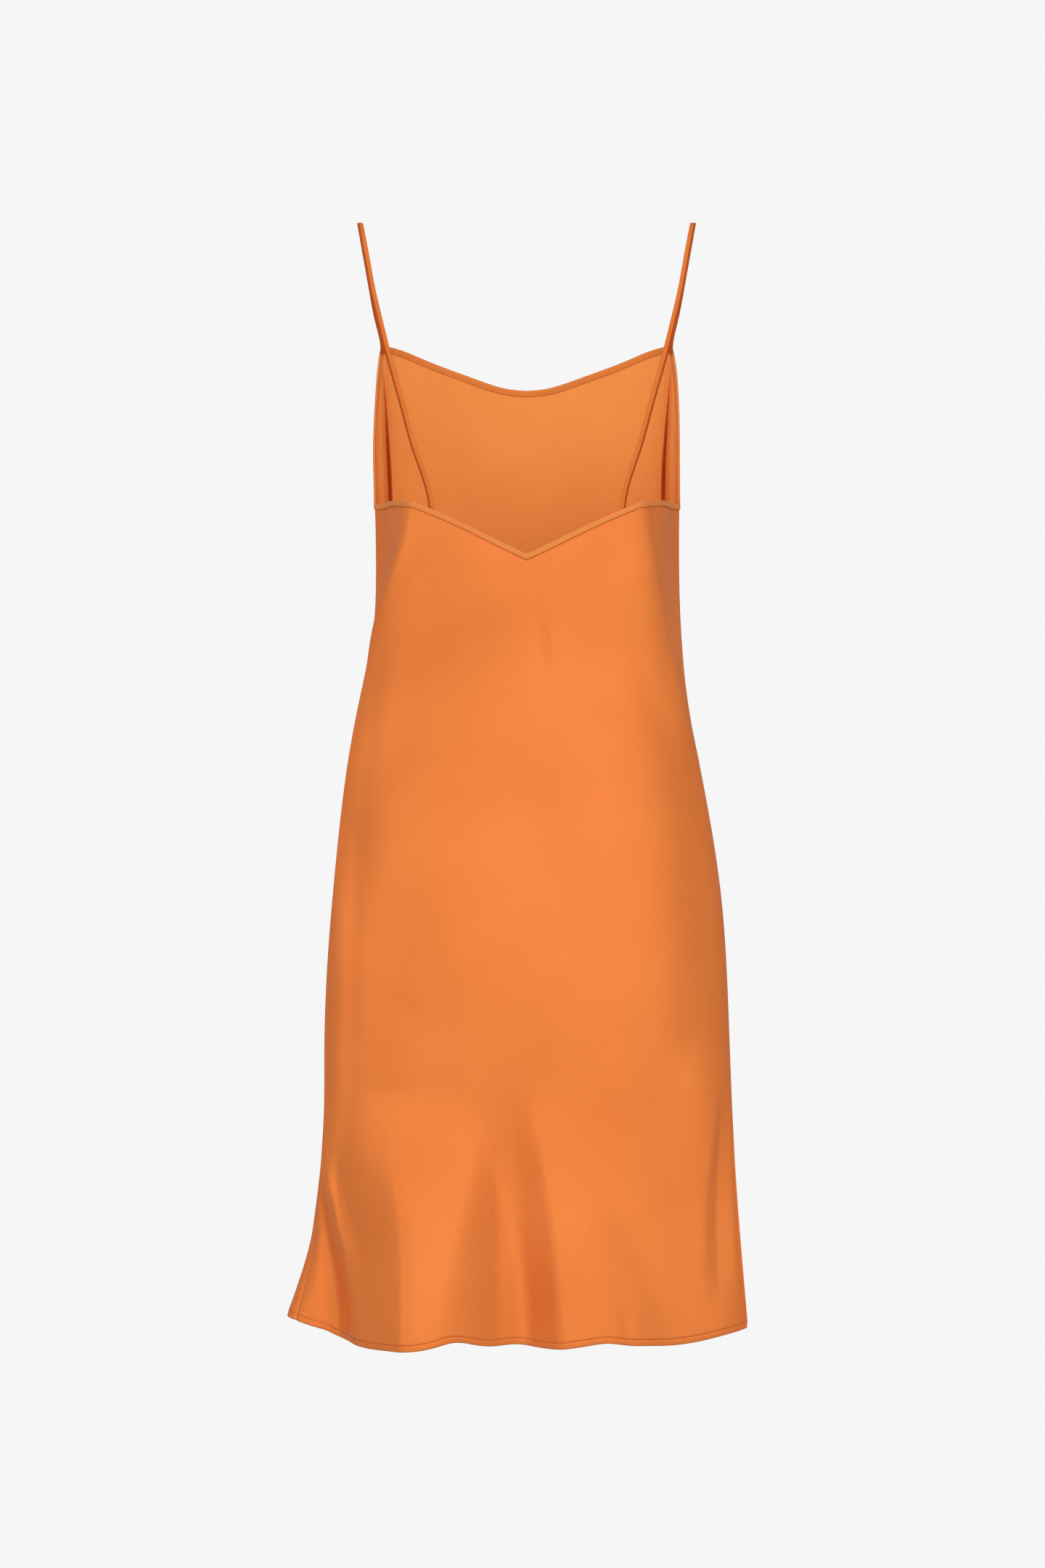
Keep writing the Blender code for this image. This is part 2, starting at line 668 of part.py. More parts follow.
def strap(name, side):
    """A flat turned tube from behind the front binding to behind the back one."""
    front = strap_end(side, FRONT_NECK_CURVE, STRAP_FRONT_TURN, STRAP_FRONT_TWIST)
    back = strap_end(side, BACK_NECK_CURVE, STRAP_BACK_TURN, STRAP_BACK_TWIST)
    stations = [front[1], front[0], *STRAP_FREE, *back]
    lengths = [0.0]
    for one, two in zip(stations, stations[1:]):
        lengths.append(lengths[-1] + math.dist(one[:3], two[:3]))
    curves = [Spline(lengths, [row[k] for row in stations]) for k in range(4)]
    grid = [[], []]
    step = lengths[-1] / STRAP_STEPS
    for place in range(STRAP_STEPS + 1):
        at = place * step
        x, y, z, turn = (curve(at) for curve in curves)
        before, after = at - PROBE, at + PROBE
        ahead = Vector([curve(after) - curve(before) for curve in curves[:3]]).normalized()
        width = Vector((math.cos(math.radians(turn)), math.sin(math.radians(turn)), 0.0))
        width = (width - ahead * width.dot(ahead)).normalized()
        for edge, sign in enumerate((1, -1)):
            point = Vector((x, y, z)) + width * (sign * STRAP_WIDTH / 2)
            grid[edge].append(Vector((side * point.x, point.y, point.z)))
    made = sheet_object(name, grid, STRAP_WALL, 0.0, SATIN_SHADE, TRIM_ROUGHNESS)
    rounding = made.modifiers.new("rounding", "BEVEL")
    rounding.width = STRAP_EDGE
    rounding.segments = 1
    rounding.limit_method = "ANGLE"
    rounding.angle_limit = math.radians(STRAP_EDGE_ANGLE)
    return made


def clear_scene():
    """Remove whatever the scene holds and add the dress's collection."""
    for old in list(bpy.data.objects):
        bpy.data.objects.remove(old)
    bpy.context.scene.collection.children.link(bpy.data.collections.new(COLLECTION))


def main():
    clear_scene()
    finished, at = upper_edge()
    count = len(finished)
    heights = binding_heights(at, count)
    seams = (at["left_seam"], at["right_seam"])
    lower = inset(finished, heights, seams)
    raw = inset(finished, [height + SEAM_GAP for height in heights], seams)

    def stretch(loop, start, stop):
        """The loop's points from one named place to another, with angles that only grow."""
        first, last = at[start], at[stop]
        places = range(first, last + 1) if last > first else range(first, last + count + 1)
        points = [(loop[place % count][0], loop[place % count][1]) for place in places]
        return [(angle + (360 if angle < points[0][0] - 1 else 0), drop) for angle, drop in points]

    front = stretch(raw, "right_seam", "left_seam")
    back = stretch(raw, "left_seam", "right_seam")
    panel("front_panel", front, True)
    panel("back_panel", back, False)

    for name, start, stop in (
        ("front_neck_binding", "right_apex", "left_apex"),
        ("back_neck_binding", "left_corner", "right_corner"),
        ("armhole_binding_left", "left_apex", "left_corner"),
        ("armhole_binding_right", "right_corner", "right_apex"),
    ):
        binding(name, stretch(finished, start, stop), stretch(lower, start, stop))

    strap("strap_left", 1)
    strap("strap_right", -1)


main()
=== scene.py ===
import math
from collections import namedtuple

import bpy
import numpy as np
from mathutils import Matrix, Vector


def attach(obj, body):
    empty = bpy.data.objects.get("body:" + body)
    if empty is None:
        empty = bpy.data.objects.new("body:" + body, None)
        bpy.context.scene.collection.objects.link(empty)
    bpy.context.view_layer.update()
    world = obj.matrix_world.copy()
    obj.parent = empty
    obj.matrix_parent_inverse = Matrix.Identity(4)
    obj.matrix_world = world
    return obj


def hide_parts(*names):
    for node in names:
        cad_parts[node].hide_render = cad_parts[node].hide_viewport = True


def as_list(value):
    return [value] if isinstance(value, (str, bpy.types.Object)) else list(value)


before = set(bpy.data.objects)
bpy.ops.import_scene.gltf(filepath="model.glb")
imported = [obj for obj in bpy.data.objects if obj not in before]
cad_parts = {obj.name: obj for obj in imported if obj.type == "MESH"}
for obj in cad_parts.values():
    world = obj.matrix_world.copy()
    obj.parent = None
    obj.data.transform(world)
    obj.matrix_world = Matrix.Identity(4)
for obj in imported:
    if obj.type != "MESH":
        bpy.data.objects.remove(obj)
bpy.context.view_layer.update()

# The looks of the slip dress. Every piece lies close to its CAD node, though not exactly on it,
# because the folds and edges here were fitted further to the photo. All lie on one surface, where
# a place is named by its angle round the body (0 left side seam, 90 centre back, 180 right side
# seam, 270 centre front) and by its drop, the height below the tops of the straps.

# ---------------------------------------------------------------- form, close to the CAD's

# The body's rings: half widths to the left and right, depths to the back and front, in metres, and
# how square each half is (2 an ellipse, more a fuller corner).
Section = namedtuple("Section", "drop left right back front back_square front_square")
SECTIONS = (
    Section(0.090, 0.1480, 0.1478, 0.072, 0.1000, 3.0, 5.0),
    Section(0.150, 0.1458, 0.1468, 0.080, 0.1085, 3.0, 4.8),
    Section(0.205, 0.1456, 0.1455, 0.087, 0.1150, 3.0, 4.4),
    Section(0.262, 0.1430, 0.1440, 0.090, 0.1185, 3.0, 3.9),
    Section(0.320, 0.1418, 0.1436, 0.087, 0.1155, 2.9, 3.3),
    Section(0.365, 0.1428, 0.1446, 0.084, 0.1115, 2.7, 2.9),
    Section(0.405, 0.1478, 0.1468, 0.082, 0.1085, 2.6, 2.6),
    Section(0.445, 0.1560, 0.1508, 0.083, 0.1070, 2.6, 2.5),
    Section(0.505, 0.1670, 0.1608, 0.089, 0.1065, 2.6, 2.4),
    Section(0.565, 0.1744, 0.1719, 0.098, 0.1075, 2.6, 2.4),
    Section(0.627, 0.1800, 0.1808, 0.106, 0.1090, 2.6, 2.4),
    Section(0.690, 0.1848, 0.1855, 0.111, 0.1100, 2.6, 2.4),
    Section(0.760, 0.1873, 0.1882, 0.111, 0.1100, 2.6, 2.4),
    Section(0.830, 0.1880, 0.1902, 0.111, 0.1105, 2.6, 2.4),
    Section(0.900, 0.1926, 0.1938, 0.113, 0.1125, 2.6, 2.4),
    Section(0.970, 0.1955, 0.1992, 0.116, 0.1165, 2.6, 2.4),
    Section(1.045, 0.1990, 0.2054, 0.119, 0.1220, 2.6, 2.4),
)

# Folds that run down the dress, each through its bends: `rise` is how far its crest stands out
# (+) or sinks in (-), `before` and `after` how far it reaches each way in degrees. The two `crest`
# powers round it on either side (1 a plane side, 2 a bowed one, less than 1 a hollow one), `flat`
# is the share of each reach its crest keeps level and `soft` rounds its two outer edges. A fold
# moves the cloth out from the body, or straight to the back.
Bend = namedtuple("Bend", "drop angle before after rise")
Fold = namedtuple("Fold", "way crest_before crest_after flat soft bends")
OUT, BACK = "out", "back"
ROUND = 0.08              # how far a crest is rounded, as a share of its reach
FOLDS = {
    "left armhole side": Fold(OUT, 2.0, 2.0, 0.0, 0.08, (
        Bend(0.200, 23, 23, 27, -0.0080),
        Bend(0.262, 23, 23, 25.5, -0.0120),
        Bend(0.298, 22, 22, 23.5, -0.0120),
        Bend(0.351, 16, 16, 17, -0.0062),
        Bend(0.385, 10, 10, 11, -0.0025),
        Bend(0.420, 6, 6, 6, 0.0),
    )),
    "left side": Fold(BACK, 1.3, 0.9, 0.0, 0.1, (
        Bend(0.330, 6, 8, 24, 0.0),
        Bend(0.400, 6, 9, 27, 0.0105),
        Bend(0.470, 5, 9, 28, 0.0150),
        Bend(0.540, 5, 9, 29, 0.0200),
        Bend(0.600, 5, 9, 30, 0.0290),
        Bend(0.660, 5, 9, 31, 0.0360),
        Bend(0.720, 5, 9, 32, 0.0380),
        Bend(0.777, 5, 9, 32, 0.0420),
        Bend(0.845, 5, 9, 31, 0.0390),
        Bend(0.885, 6, 9, 27, 0.0330),
        Bend(0.915, 7, 9, 22, 0.0150),
        Bend(0.940, 8, 8, 20, 0.0),
    )),
    "left waist": Fold(BACK, 1.8, 1.3, 0.0, 0.15, (
        Bend(0.360, 25, 18, 24, 0.0),
        Bend(0.430, 26, 20, 28, -0.0070),
        Bend(0.500, 27, 22, 30, -0.0105),
        Bend(0.572, 28, 22, 28, -0.0090),
        Bend(0.640, 34, 20, 24, 0.0),
        Bend(0.709, 38, 20, 26, 0.0065),
        Bend(0.777, 38, 20, 28, 0.0085),
        Bend(0.845, 38, 18, 22, 0.0045),
        Bend(0.885, 40, 16, 18, 0.0),
    )),
    "right side": Fold(BACK, 0.65, 1.3, 0.0, 0.1, (
        Bend(0.320, 174, 22, 6, 0.0),
        Bend(0.400, 175, 28, 9, 0.0150),
        Bend(0.457, 175, 34, 10, 0.0230),
        Bend(0.538, 176, 32, 10, 0.0268),
        Bend(0.606, 176, 30, 10, 0.0268),
        Bend(0.674, 176, 32, 10, 0.0322),
        Bend(0.742, 176, 36, 10, 0.0355),
        Bend(0.810, 176, 47, 10, 0.0475),
        Bend(0.851, 176, 47, 10, 0.0560),
        Bend(0.920, 176, 44, 10, 0.0600),
        Bend(1.045, 176, 43, 10, 0.0650),
    )),
    "left armhole ridge": Fold(OUT, 1.6, 1.6, 0.0, 0.3, (
        Bend(0.262, 47, 4, 14, 0.0020),
        Bend(0.298, 43, 4, 14, 0.0030),
        Bend(0.351, 29, 5, 16, 0.0055),
        Bend(0.385, 20, 7, 20, 0.0040),
        Bend(0.430, 18, 12, 22, 0.0),
    )),
    "right armhole side": Fold(OUT, 2.0, 2.0, 0.0, 0.08, (
        Bend(0.200, 157, 27.5, 23, -0.0080),
        Bend(0.262, 157, 26, 23, -0.0100),
        Bend(0.298, 158, 23.5, 22, -0.0095),
        Bend(0.371, 161, 18, 19, -0.0060),
        Bend(0.444, 167, 12, 13, -0.0020),
        Bend(0.500, 170, 10, 10, 0.0),
    )),
    "right armhole ridge": Fold(OUT, 1.6, 1.6, 0.0, 0.3, (
        Bend(0.262, 132, 14, 4, 0.0020),
        Bend(0.298, 134, 14, 4, 0.0030),
        Bend(0.371, 141, 16, 5, 0.0040),
        Bend(0.444, 150, 16, 7, 0.0030),
        Bend(0.500, 156, 14, 8, 0.0),
    )),
    "left front groove": Fold(BACK, 1.0, 1.0, 0.0, 0.1, (
        Bend(0.105, 321.5, 1.2, 1.2, -0.0010),
        Bend(0.140, 321.3, 1.3, 1.2, -0.0040),
        Bend(0.170, 321, 1.9, 1.7, -0.0110),
        Bend(0.200, 321, 2.3, 2.1, -0.0200),
        Bend(0.220, 321.3, 2.7, 2.5, -0.0240),
        Bend(0.262, 322.8, 3.0, 2.7, -0.0280),
        Bend(0.330, 322.5, 5, 4, -0.0120),
        Bend(0.430, 321, 8, 8, 0.0),
    )),
    "left front face": Fold(BACK, 1.2, 1.0, 0.0, 0.1, (
        Bend(0.105, 318, 10, 2, 0.0),
        Bend(0.170, 318, 11, 2, -0.0040),
        Bend(0.220, 318.3, 12, 2.4, -0.0060),
        Bend(0.262, 319.6, 13, 2.6, -0.0070),
        Bend(0.330, 320, 13, 5, -0.0040),
        Bend(0.430, 319, 12, 8, 0.0),
    )),
    "left shelf under the strap": Fold(BACK, 1.0, 1.0, 0.0, 0.1, (
        Bend(0.105, 323, 1.5, 7, 0.0010),
        Bend(0.140, 323, 1.5, 8, 0.0050),
        Bend(0.170, 323, 2, 9, 0.0100),
        Bend(0.220, 323.8, 3, 10, 0.0150),
        Bend(0.262, 325.4, 3, 11, 0.0170),
        Bend(0.330, 325.4, 6, 12, 0.0100),
        Bend(0.430, 324, 9, 12, 0.0),
    )),
    "right front groove": Fold(BACK, 1.0, 1.0, 0.0, 0.1, (
        Bend(0.105, 218.5, 1.2, 1.2, -0.0010),
        Bend(0.140, 218.7, 1.2, 1.3, -0.0040),
        Bend(0.170, 219, 1.7, 1.9, -0.0110),
        Bend(0.200, 219, 2.1, 2.3, -0.0200),
        Bend(0.220, 218.7, 2.5, 2.7, -0.0240),
        Bend(0.262, 217.2, 2.7, 3.0, -0.0280),
        Bend(0.330, 217.5, 4, 5, -0.0120),
        Bend(0.430, 219, 8, 8, 0.0),
    )),
    "right front face": Fold(BACK, 1.0, 1.2, 0.0, 0.1, (
        Bend(0.105, 222, 2, 10, 0.0),
        Bend(0.170, 222, 2, 11, -0.0040),
        Bend(0.220, 221.7, 2.4, 12, -0.0060),
        Bend(0.262, 220.4, 2.6, 13, -0.0070),
        Bend(0.330, 220, 5, 13, -0.0040),
        Bend(0.430, 221, 8, 12, 0.0),
    )),
    "right shelf under the strap": Fold(BACK, 1.0, 1.0, 0.0, 0.1, (
        Bend(0.105, 217, 7, 1.5, 0.0010),
        Bend(0.140, 217, 8, 1.5, 0.0050),
        Bend(0.170, 217, 9, 2, 0.0100),
        Bend(0.220, 216.2, 10, 3, 0.0150),
        Bend(0.262, 214.6, 11, 3, 0.0170),
        Bend(0.330, 214.6, 12, 6, 0.0100),
        Bend(0.430, 216, 12, 9, 0.0),
    )),
    "left rim": Fold(BACK, 1.0, 1.2, 0.0, 0.15, (
        Bend(0.860, 17, 9, 24, 0.0),
        Bend(0.885, 20, 8, 18, 0.0040),
        Bend(0.907, 25, 6, 14, 0.0120),
        Bend(0.939, 32, 6, 12, 0.0110),
        Bend(0.978, 38, 5, 10, 0.0060),
        Bend(1.045, 43, 5, 10, 0.0020),
    )),
    "left flute": Fold(OUT, 0.8, 1.3, 0.0, 0.08, (
        Bend(0.800, 50, 16, 22, 0.0),
        Bend(0.835, 52.5, 20, 24, 0.0060),
        Bend(0.865, 55, 24, 25, 0.0160),
        Bend(0.901, 58, 26, 26, 0.0260),
        Bend(0.947, 59.9, 24, 27, 0.0310),
        Bend(0.985, 60.4, 22, 28, 0.0350),
        Bend(1.045, 60.8, 20, 29, 0.0390),
    )),
    "left flank": Fold(BACK, 1.5, 1.5, 0.0, 0.2, (
        Bend(0.860, 42, 14, 14, 0.0),
        Bend(0.901, 43, 13, 15, -0.0040),
        Bend(0.965, 45, 13, 15, -0.0060),
        Bend(1.045, 46, 12, 15, -0.0060),
    )),
    "left hollow": Fold(BACK, 1.3, 1.3, 0.0, 0.2, (
        Bend(0.850, 13, 5, 4, 0.0),
        Bend(0.880, 18, 6, 5, -0.0025),
        Bend(0.907, 23, 8, 6, -0.0070),
        Bend(0.939, 28, 9, 7, -0.0110),
        Bend(0.978, 33, 10, 8, -0.0140),
        Bend(1.045, 36, 11, 9, -0.0170),
    )),
    "left flare": Fold(OUT, 1.3, 1.3, 0.0, 0.2, (
        Bend(0.870, 6, 22, 14, 0.0),
        Bend(0.940, 10, 24, 14, 0.0060),
        Bend(1.000, 13.5, 25, 14, 0.0215),
        Bend(1.045, 15, 25, 14, 0.0390),
    )),
    "centre hollow": Fold(OUT, 1.0, 1.0, 0.22, 0.12, (
        Bend(0.770, 84.5, 7, 6, 0.0),
        Bend(0.828, 84.5, 7.8, 7.3, -0.0026),
        Bend(0.867, 84.9, 9, 9, -0.0058),
        Bend(0.934, 85.8, 13.2, 11, -0.0100),
        Bend(1.000, 87, 17.8, 11.3, -0.0130),
        Bend(1.045, 87.4, 19.6, 11.4, -0.0135),
    )),
    "centre flute": Fold(OUT, 0.9, 1.5, 0.0, 0.2, (
        Bend(0.812, 91, 4, 10, 0.0),
        Bend(0.838, 92.2, 4.6, 12, 0.0028),
        Bend(0.867, 94, 6.6, 14, 0.0075),
        Bend(0.934, 97, 9, 20, 0.0125),
        Bend(1.000, 98.7, 9, 25, 0.0155),
        Bend(1.045, 99, 9.2, 27, 0.0170),
    )),
    "right streak": Fold(OUT, 1.1, 1.3, 0.0, 0.15, (
        Bend(0.800, 156, 4, 10, 0.0),
        Bend(0.833, 154, 5, 11, -0.0023),
        Bend(0.873, 151, 6, 12, -0.0036),
        Bend(0.920, 148, 7, 12, -0.0038),
        Bend(0.960, 146.5, 7, 12, -0.0034),
        Bend(0.985, 145.5, 7, 12, -0.0018),
        Bend(1.010, 145, 8, 12, 0.0),
    )),
    "front right edge": Fold(OUT, 1.6, 1.6, 0.0, 0.3, (
        Bend(0.820, 216, 12, 14, 0.0),
        Bend(1.045, 212, 12, 14, -0.0130),
    )),
    "front right flute": Fold(OUT, 1.6, 1.6, 0.0, 0.3, (
        Bend(0.780, 240, 13, 12, 0.0),
        Bend(1.045, 236, 13, 12, 0.0260),
    )),
    "front right hollow": Fold(OUT, 1.6, 1.6, 0.0, 0.3, (
        Bend(0.840, 262, 11, 13, 0.0),
        Bend(1.045, 258, 11, 13, -0.0170),
    )),
    "front left flute": Fold(OUT, 1.6, 1.6, 0.0, 0.3, (
        Bend(0.800, 280, 12, 14, 0.0),
        Bend(1.045, 284, 12, 14, 0.0220),
    )),
    "front left hollow": Fold(OUT, 1.6, 1.6, 0.0, 0.3, (
        Bend(0.850, 304, 12, 10, 0.0),
        Bend(1.045, 309, 12, 10, -0.0180),
    )),
}

# Shallow creases, each a soft line from one place to another: its reach across, in metres, and
# its rise at the middle, out (+) or in (-).
Crease = namedtuple("Crease", "angle drop to_angle to_drop reach rise")
CREASES = (
    Crease(88, 0.345, 30, 0.560, 0.042, -0.0095),
    Crease(94, 0.325, 97, 0.475, 0.008, -0.0012),
    Crease(114, 0.985, 115, 1.050, 0.004, -0.0010),
    Crease(27, 0.880, 40, 0.965, 0.0045, 0.0008),
    Crease(36, 0.920, 44, 1.050, 0.0045, 0.0008),
    Crease(99, 0.350, 103, 0.440, 0.014, 0.0010),
    Crease(74, 0.582, 100, 0.576, 0.004, 0.0002),
    Crease(50, 0.715, 64, 0.748, 0.010, -0.0010),
    Crease(56, 0.640, 44, 0.700, 0.016, -0.0012),
    Crease(122, 0.300, 112, 0.360, 0.014, -0.0008),
    Crease(238, 0.300, 262, 0.420, 0.022, -0.0030),
    Crease(306, 0.290, 280, 0.430, 0.024, -0.0034),
    Crease(250, 0.500, 290, 0.490, 0.005, 0.0004),
    Crease(225, 0.620, 214, 0.740, 0.012, -0.0014),
    Crease(318, 0.600, 330, 0.700, 0.012, -0.0014),
)

# How far each side seam wanders from its place at the side, in degrees toward the back on the left.
Seam = namedtuple("Seam", "drop left right")
SEAMS = (
    Seam(0.250, 0.0, 0.0),
    Seam(0.500, 0.0, 0.0),
    Seam(0.720, 0.0, 0.0),
    Seam(0.860, 4.0, 0.0),
    Seam(0.940, 13.5, 0.0),
    Seam(1.045, 20.3, 0.0),
)

# The hem's level round the dress.
Level = namedtuple("Level", "angle drop")
HEM = (
    Level(-100, 1.0330),
    Level(-45, 1.0300),
    Level(-8, 1.0170),
    Level(0, 1.0203),
    Level(7, 1.0256),
    Level(14, 1.0316),
    Level(20, 1.0351),
    Level(26, 1.0366),
    Level(35, 1.0374),
    Level(42, 1.0362),
    Level(48, 1.0348),
    Level(54, 1.0312),
    Level(59, 1.0276),
    Level(64, 1.0308),
    Level(69, 1.0336),
    Level(75, 1.0331),
    Level(80, 1.0348),
    Level(87, 1.0351),
    Level(92, 1.0334),
    Level(97, 1.0312),
    Level(101, 1.0301),
    Level(107, 1.0328),
    Level(112, 1.0340),
    Level(118, 1.0351),
    Level(128, 1.0337),
    Level(140, 1.0292),
    Level(155, 1.0257),
    Level(170, 1.0238),
    Level(180, 1.0235),
    Level(225, 1.0310),
    Level(260, 1.0330),
)

DEGREE = 0.0028           # metres per degree round the body, for the weave and the creases
APEX = -38.5              # where the strap leaves the front, in degrees from the side seam
CORNER = 50.0             # where the armhole turns into the back neckline
# The finished upper edge, by degrees from the nearer side seam, minus to the front.
Edge = namedtuple("Edge", "turn drop")
FRONT_NECK = (
    Edge(-90.0, 0.1454),
    Edge(-83.0, 0.1437),
    Edge(-70.0, 0.1328),
    Edge(-56.0, 0.1171),
    Edge(-50.5, 0.1103),
    Edge(-45.0, 0.1063),
    Edge(APEX, 0.1050),
)
ARMHOLE = (
    Edge(APEX, 0.1050),
    Edge(-34.0, 0.1270),
    Edge(-28.0, 0.1600),
    Edge(-20.0, 0.2030),
    Edge(-11.0, 0.2410),
    Edge(-4.0, 0.2590),
    Edge(3.0, 0.2630),
    Edge(20.0, 0.2630),
    Edge(38.0, 0.2635),
    Edge(CORNER, 0.2665),
)
BACK_NECK = (
    Edge(CORNER, 0.2665),
    Edge(57.0, 0.2740),
    Edge(71.0, 0.2912),
    Edge(82.0, 0.3052),
    Edge(90.0, 0.3146),
)


# The left strap's middle line. Its width is turned from the X axis by `turn` degrees.
Station = namedtuple("Station", "x y z turn")
STRAP_FREE = (
    Station(0.1413, -0.0720, -0.088, 40),
    Station(0.1474, -0.0575, -0.055, 30),
    Station(0.1526, -0.0380, -0.023, 14),
    Station(0.1557, -0.0140, -0.003, 4),
    Station(0.1560, 0.0000, 0.0, 0),
    Station(0.1546, 0.0130, -0.006, 0),
    Station(0.1492, 0.0300, -0.033, -2),
    Station(0.1423, 0.0490, -0.069, -4),
    Station(0.1339, 0.0600, -0.104, -6),
    Station(0.1298, 0.0645, -0.1205, -7),
    Station(0.1135, 0.0745, -0.179, -10),
    Station(0.1022, 0.0795, -0.2193, -14),
)
STRAP_FRONT_TURN = APEX + 1.6
STRAP_BACK_TURN = 56.0
STRAP_FRONT_TWIST = 44
STRAP_BACK_TWIST = -17
STRAP_TUCK = 0.0090
STRAP_INNER = -0.0036     # how far inside the surface the strap's sewn ends lie
STRAP_WIDTH = 0.0056
STRAP_WALL = 0.0016
STRAP_SIDES = 22
STRAP_SHADED = 75         # how far the painted shade, a darker colour on its underside, comes round its outer edge, in degrees
STRAP_SHADED_FROM = 185   # and where it begins on the inner edge
STRAP_SQUARE = 0.7        # the powers that make its section flat and full
STRAP_FLAT = 0.9
STRAP_WAVE = 0.10         # how unevenly it is filled, as a share of its thickness
STRAP_WEAVE = 0.0130      # and the stretch of weave laid round it
STRAP_STATIONS = 300

# ---------------------------------------------------------------- cloth and trims

MIDDLE = -0.0007          # the cloth's middle, measured out from the surface
CLOTH = 0.0005            # thickness of the satin
FRONT_BINDING = 0.0060
BACK_BINDING = 0.0050
RAW = 0.0030              # how far below the finished edge the panel ends, inside its binding
HEM_FOLD = 0.0068         # height of the turned-up hem
HEM_STITCH = 0.0056       # height of its stitch line
HEM_LAYER = 0.0016        # how far inside the panel the turned-up layer lies
HEM_LEAN = 0.0008         # how far the hem leans in below its stitch line
SEAM_DIP = 0.0010         # how far the cloth dips into the side seams
SEAM_REACH = 0.0014       # and how wide the dip is
PANEL_ROWS = 155
PANEL_COLUMNS = 250
SEAM_COLUMNS = (0.0, 0.2, 0.45, 0.75, 1.2, 1.8)   # degrees from the seam of the columns nearest it
STEEP_GAIN = 2.4          # how much closer the columns stand where the steep folds are
Steep = namedtuple("Steep", "angle reach")
STEEP_PLACES = (
    Steep(38, 8),
    Steep(59, 6),
    Steep(97, 5),
    Steep(150, 8),
    Steep(220, 4),
    Steep(320, 4),
)
HEM_START = 0.012         # where the hem's own rows begin, above the edge
HEM_ROWS = (0.0105, 0.009, 0.0077, 0.0068, 0.006, 0.0052, 0.0042, 0.003, 0.0018, 0.0008)
HEM_GROOVE = 0.0005       # how deep the stitches pull the hem in
HEM_GROOVE_REACH = 0.0007

# The turned-up layer, from the edge up: its height, and its place inside as a share of HEM_LAYER.
Turn = namedtuple("Turn", "up inside")
HEM_TURN = (
    Turn(0.0, 0.5),
    Turn(0.0008, 1.0),
    Turn(0.0025, 1.0),
    Turn(0.0045, 0.95),
    Turn(HEM_STITCH, 0.75),
    Turn(HEM_FOLD, 0.9),
)


class Spline:
    """A natural cubic spline through keys and values, held level beyond its ends."""

    def __init__(self, keys, values):
        self.keys = np.array(keys, float)
        self.values = np.array(values, float)
        spans = np.diff(self.keys)
        slopes = np.diff(self.values) / spans
        size = len(self.keys)
        matrix = np.eye(size)
        target = np.zeros(size)
        for row in range(1, size - 1):
            matrix[row, row - 1] = spans[row - 1]
            matrix[row, row] = 2 * (spans[row - 1] + spans[row])
            matrix[row, row + 1] = spans[row]
            target[row] = 6 * (slopes[row] - slopes[row - 1])
        self.bends = np.linalg.solve(matrix, target)

    def __call__(self, key):
        key = np.clip(key, self.keys[0], self.keys[-1])
        low = np.clip(np.searchsorted(self.keys, key, side="right") - 1, 0, len(self.keys) - 2)
        span = self.keys[low + 1] - self.keys[low]
        far = (key - self.keys[low]) / span
        near = 1 - far
        bend = (near**3 - near) * self.bends[low] + (far**3 - far) * self.bends[low + 1]
        return near * self.values[low] + far * self.values[low + 1] + bend * span**2 / 6


def column(rows, key, value):
    """The spline through one column of a table, over another column."""
    return Spline([getattr(row, key) for row in rows], [getattr(row, value) for row in rows])


SECTION_CURVES = {name: column(SECTIONS, "drop", name) for name in Section._fields[1:]}
SEAM_CURVES = {name: column(SEAMS, "drop", name) for name in Seam._fields[1:]}
HEM_CURVE = column(HEM, "angle", "drop")
FRONT_NECK_CURVE = column(FRONT_NECK, "turn", "drop")
ARMHOLE_CURVE = column(ARMHOLE, "turn", "drop")
BACK_NECK_CURVE = column(BACK_NECK, "turn", "drop")


def around(angle):
    """An angle, or a difference of angles, between -180 and 180."""
    return (angle + 180) % 360 - 180


def eased(keys, values):
    """A curve from value to value that never overshoots, level at its start and beyond its ends."""
    keys = np.array(keys, float)
    values = np.array(values, float)
    rates = np.diff(values) / np.diff(keys)
    slopes = np.zeros(len(keys))
    both = rates[:-1] * rates[1:] > 0
    slopes[1:-1][both] = 2 * rates[:-1][both] * rates[1:][both] / (rates[:-1] + rates[1:])[both]
    slopes[-1] = rates[-1]

    def curve(key):
        key = np.clip(key, keys[0], keys[-1])
        low = np.clip(np.searchsorted(keys, key, side="right") - 1, 0, len(keys) - 2)
        span = keys[low + 1] - keys[low]
        part = (key - keys[low]) / span
        left = part * part * (3 - 2 * part)
        lean = part * (1 - part) * span * ((1 - part) * slopes[low] - part * slopes[low + 1])
        return values[low] * (1 - left) + values[low + 1] * left + lean

    return curve


def fold_curves(fold):
    """A fold's angle, reaches and rise as curves over the drop."""
    drops = [bend.drop for bend in fold.bends]
    kinds = (("angle", Spline), ("before", eased), ("after", eased), ("rise", eased))
    return [kind(drops, [getattr(bend, name) for bend in fold.bends]) for name, kind in kinds]


FOLD_CURVES = [(fold, fold_curves(fold)) for fold in FOLDS.values()]


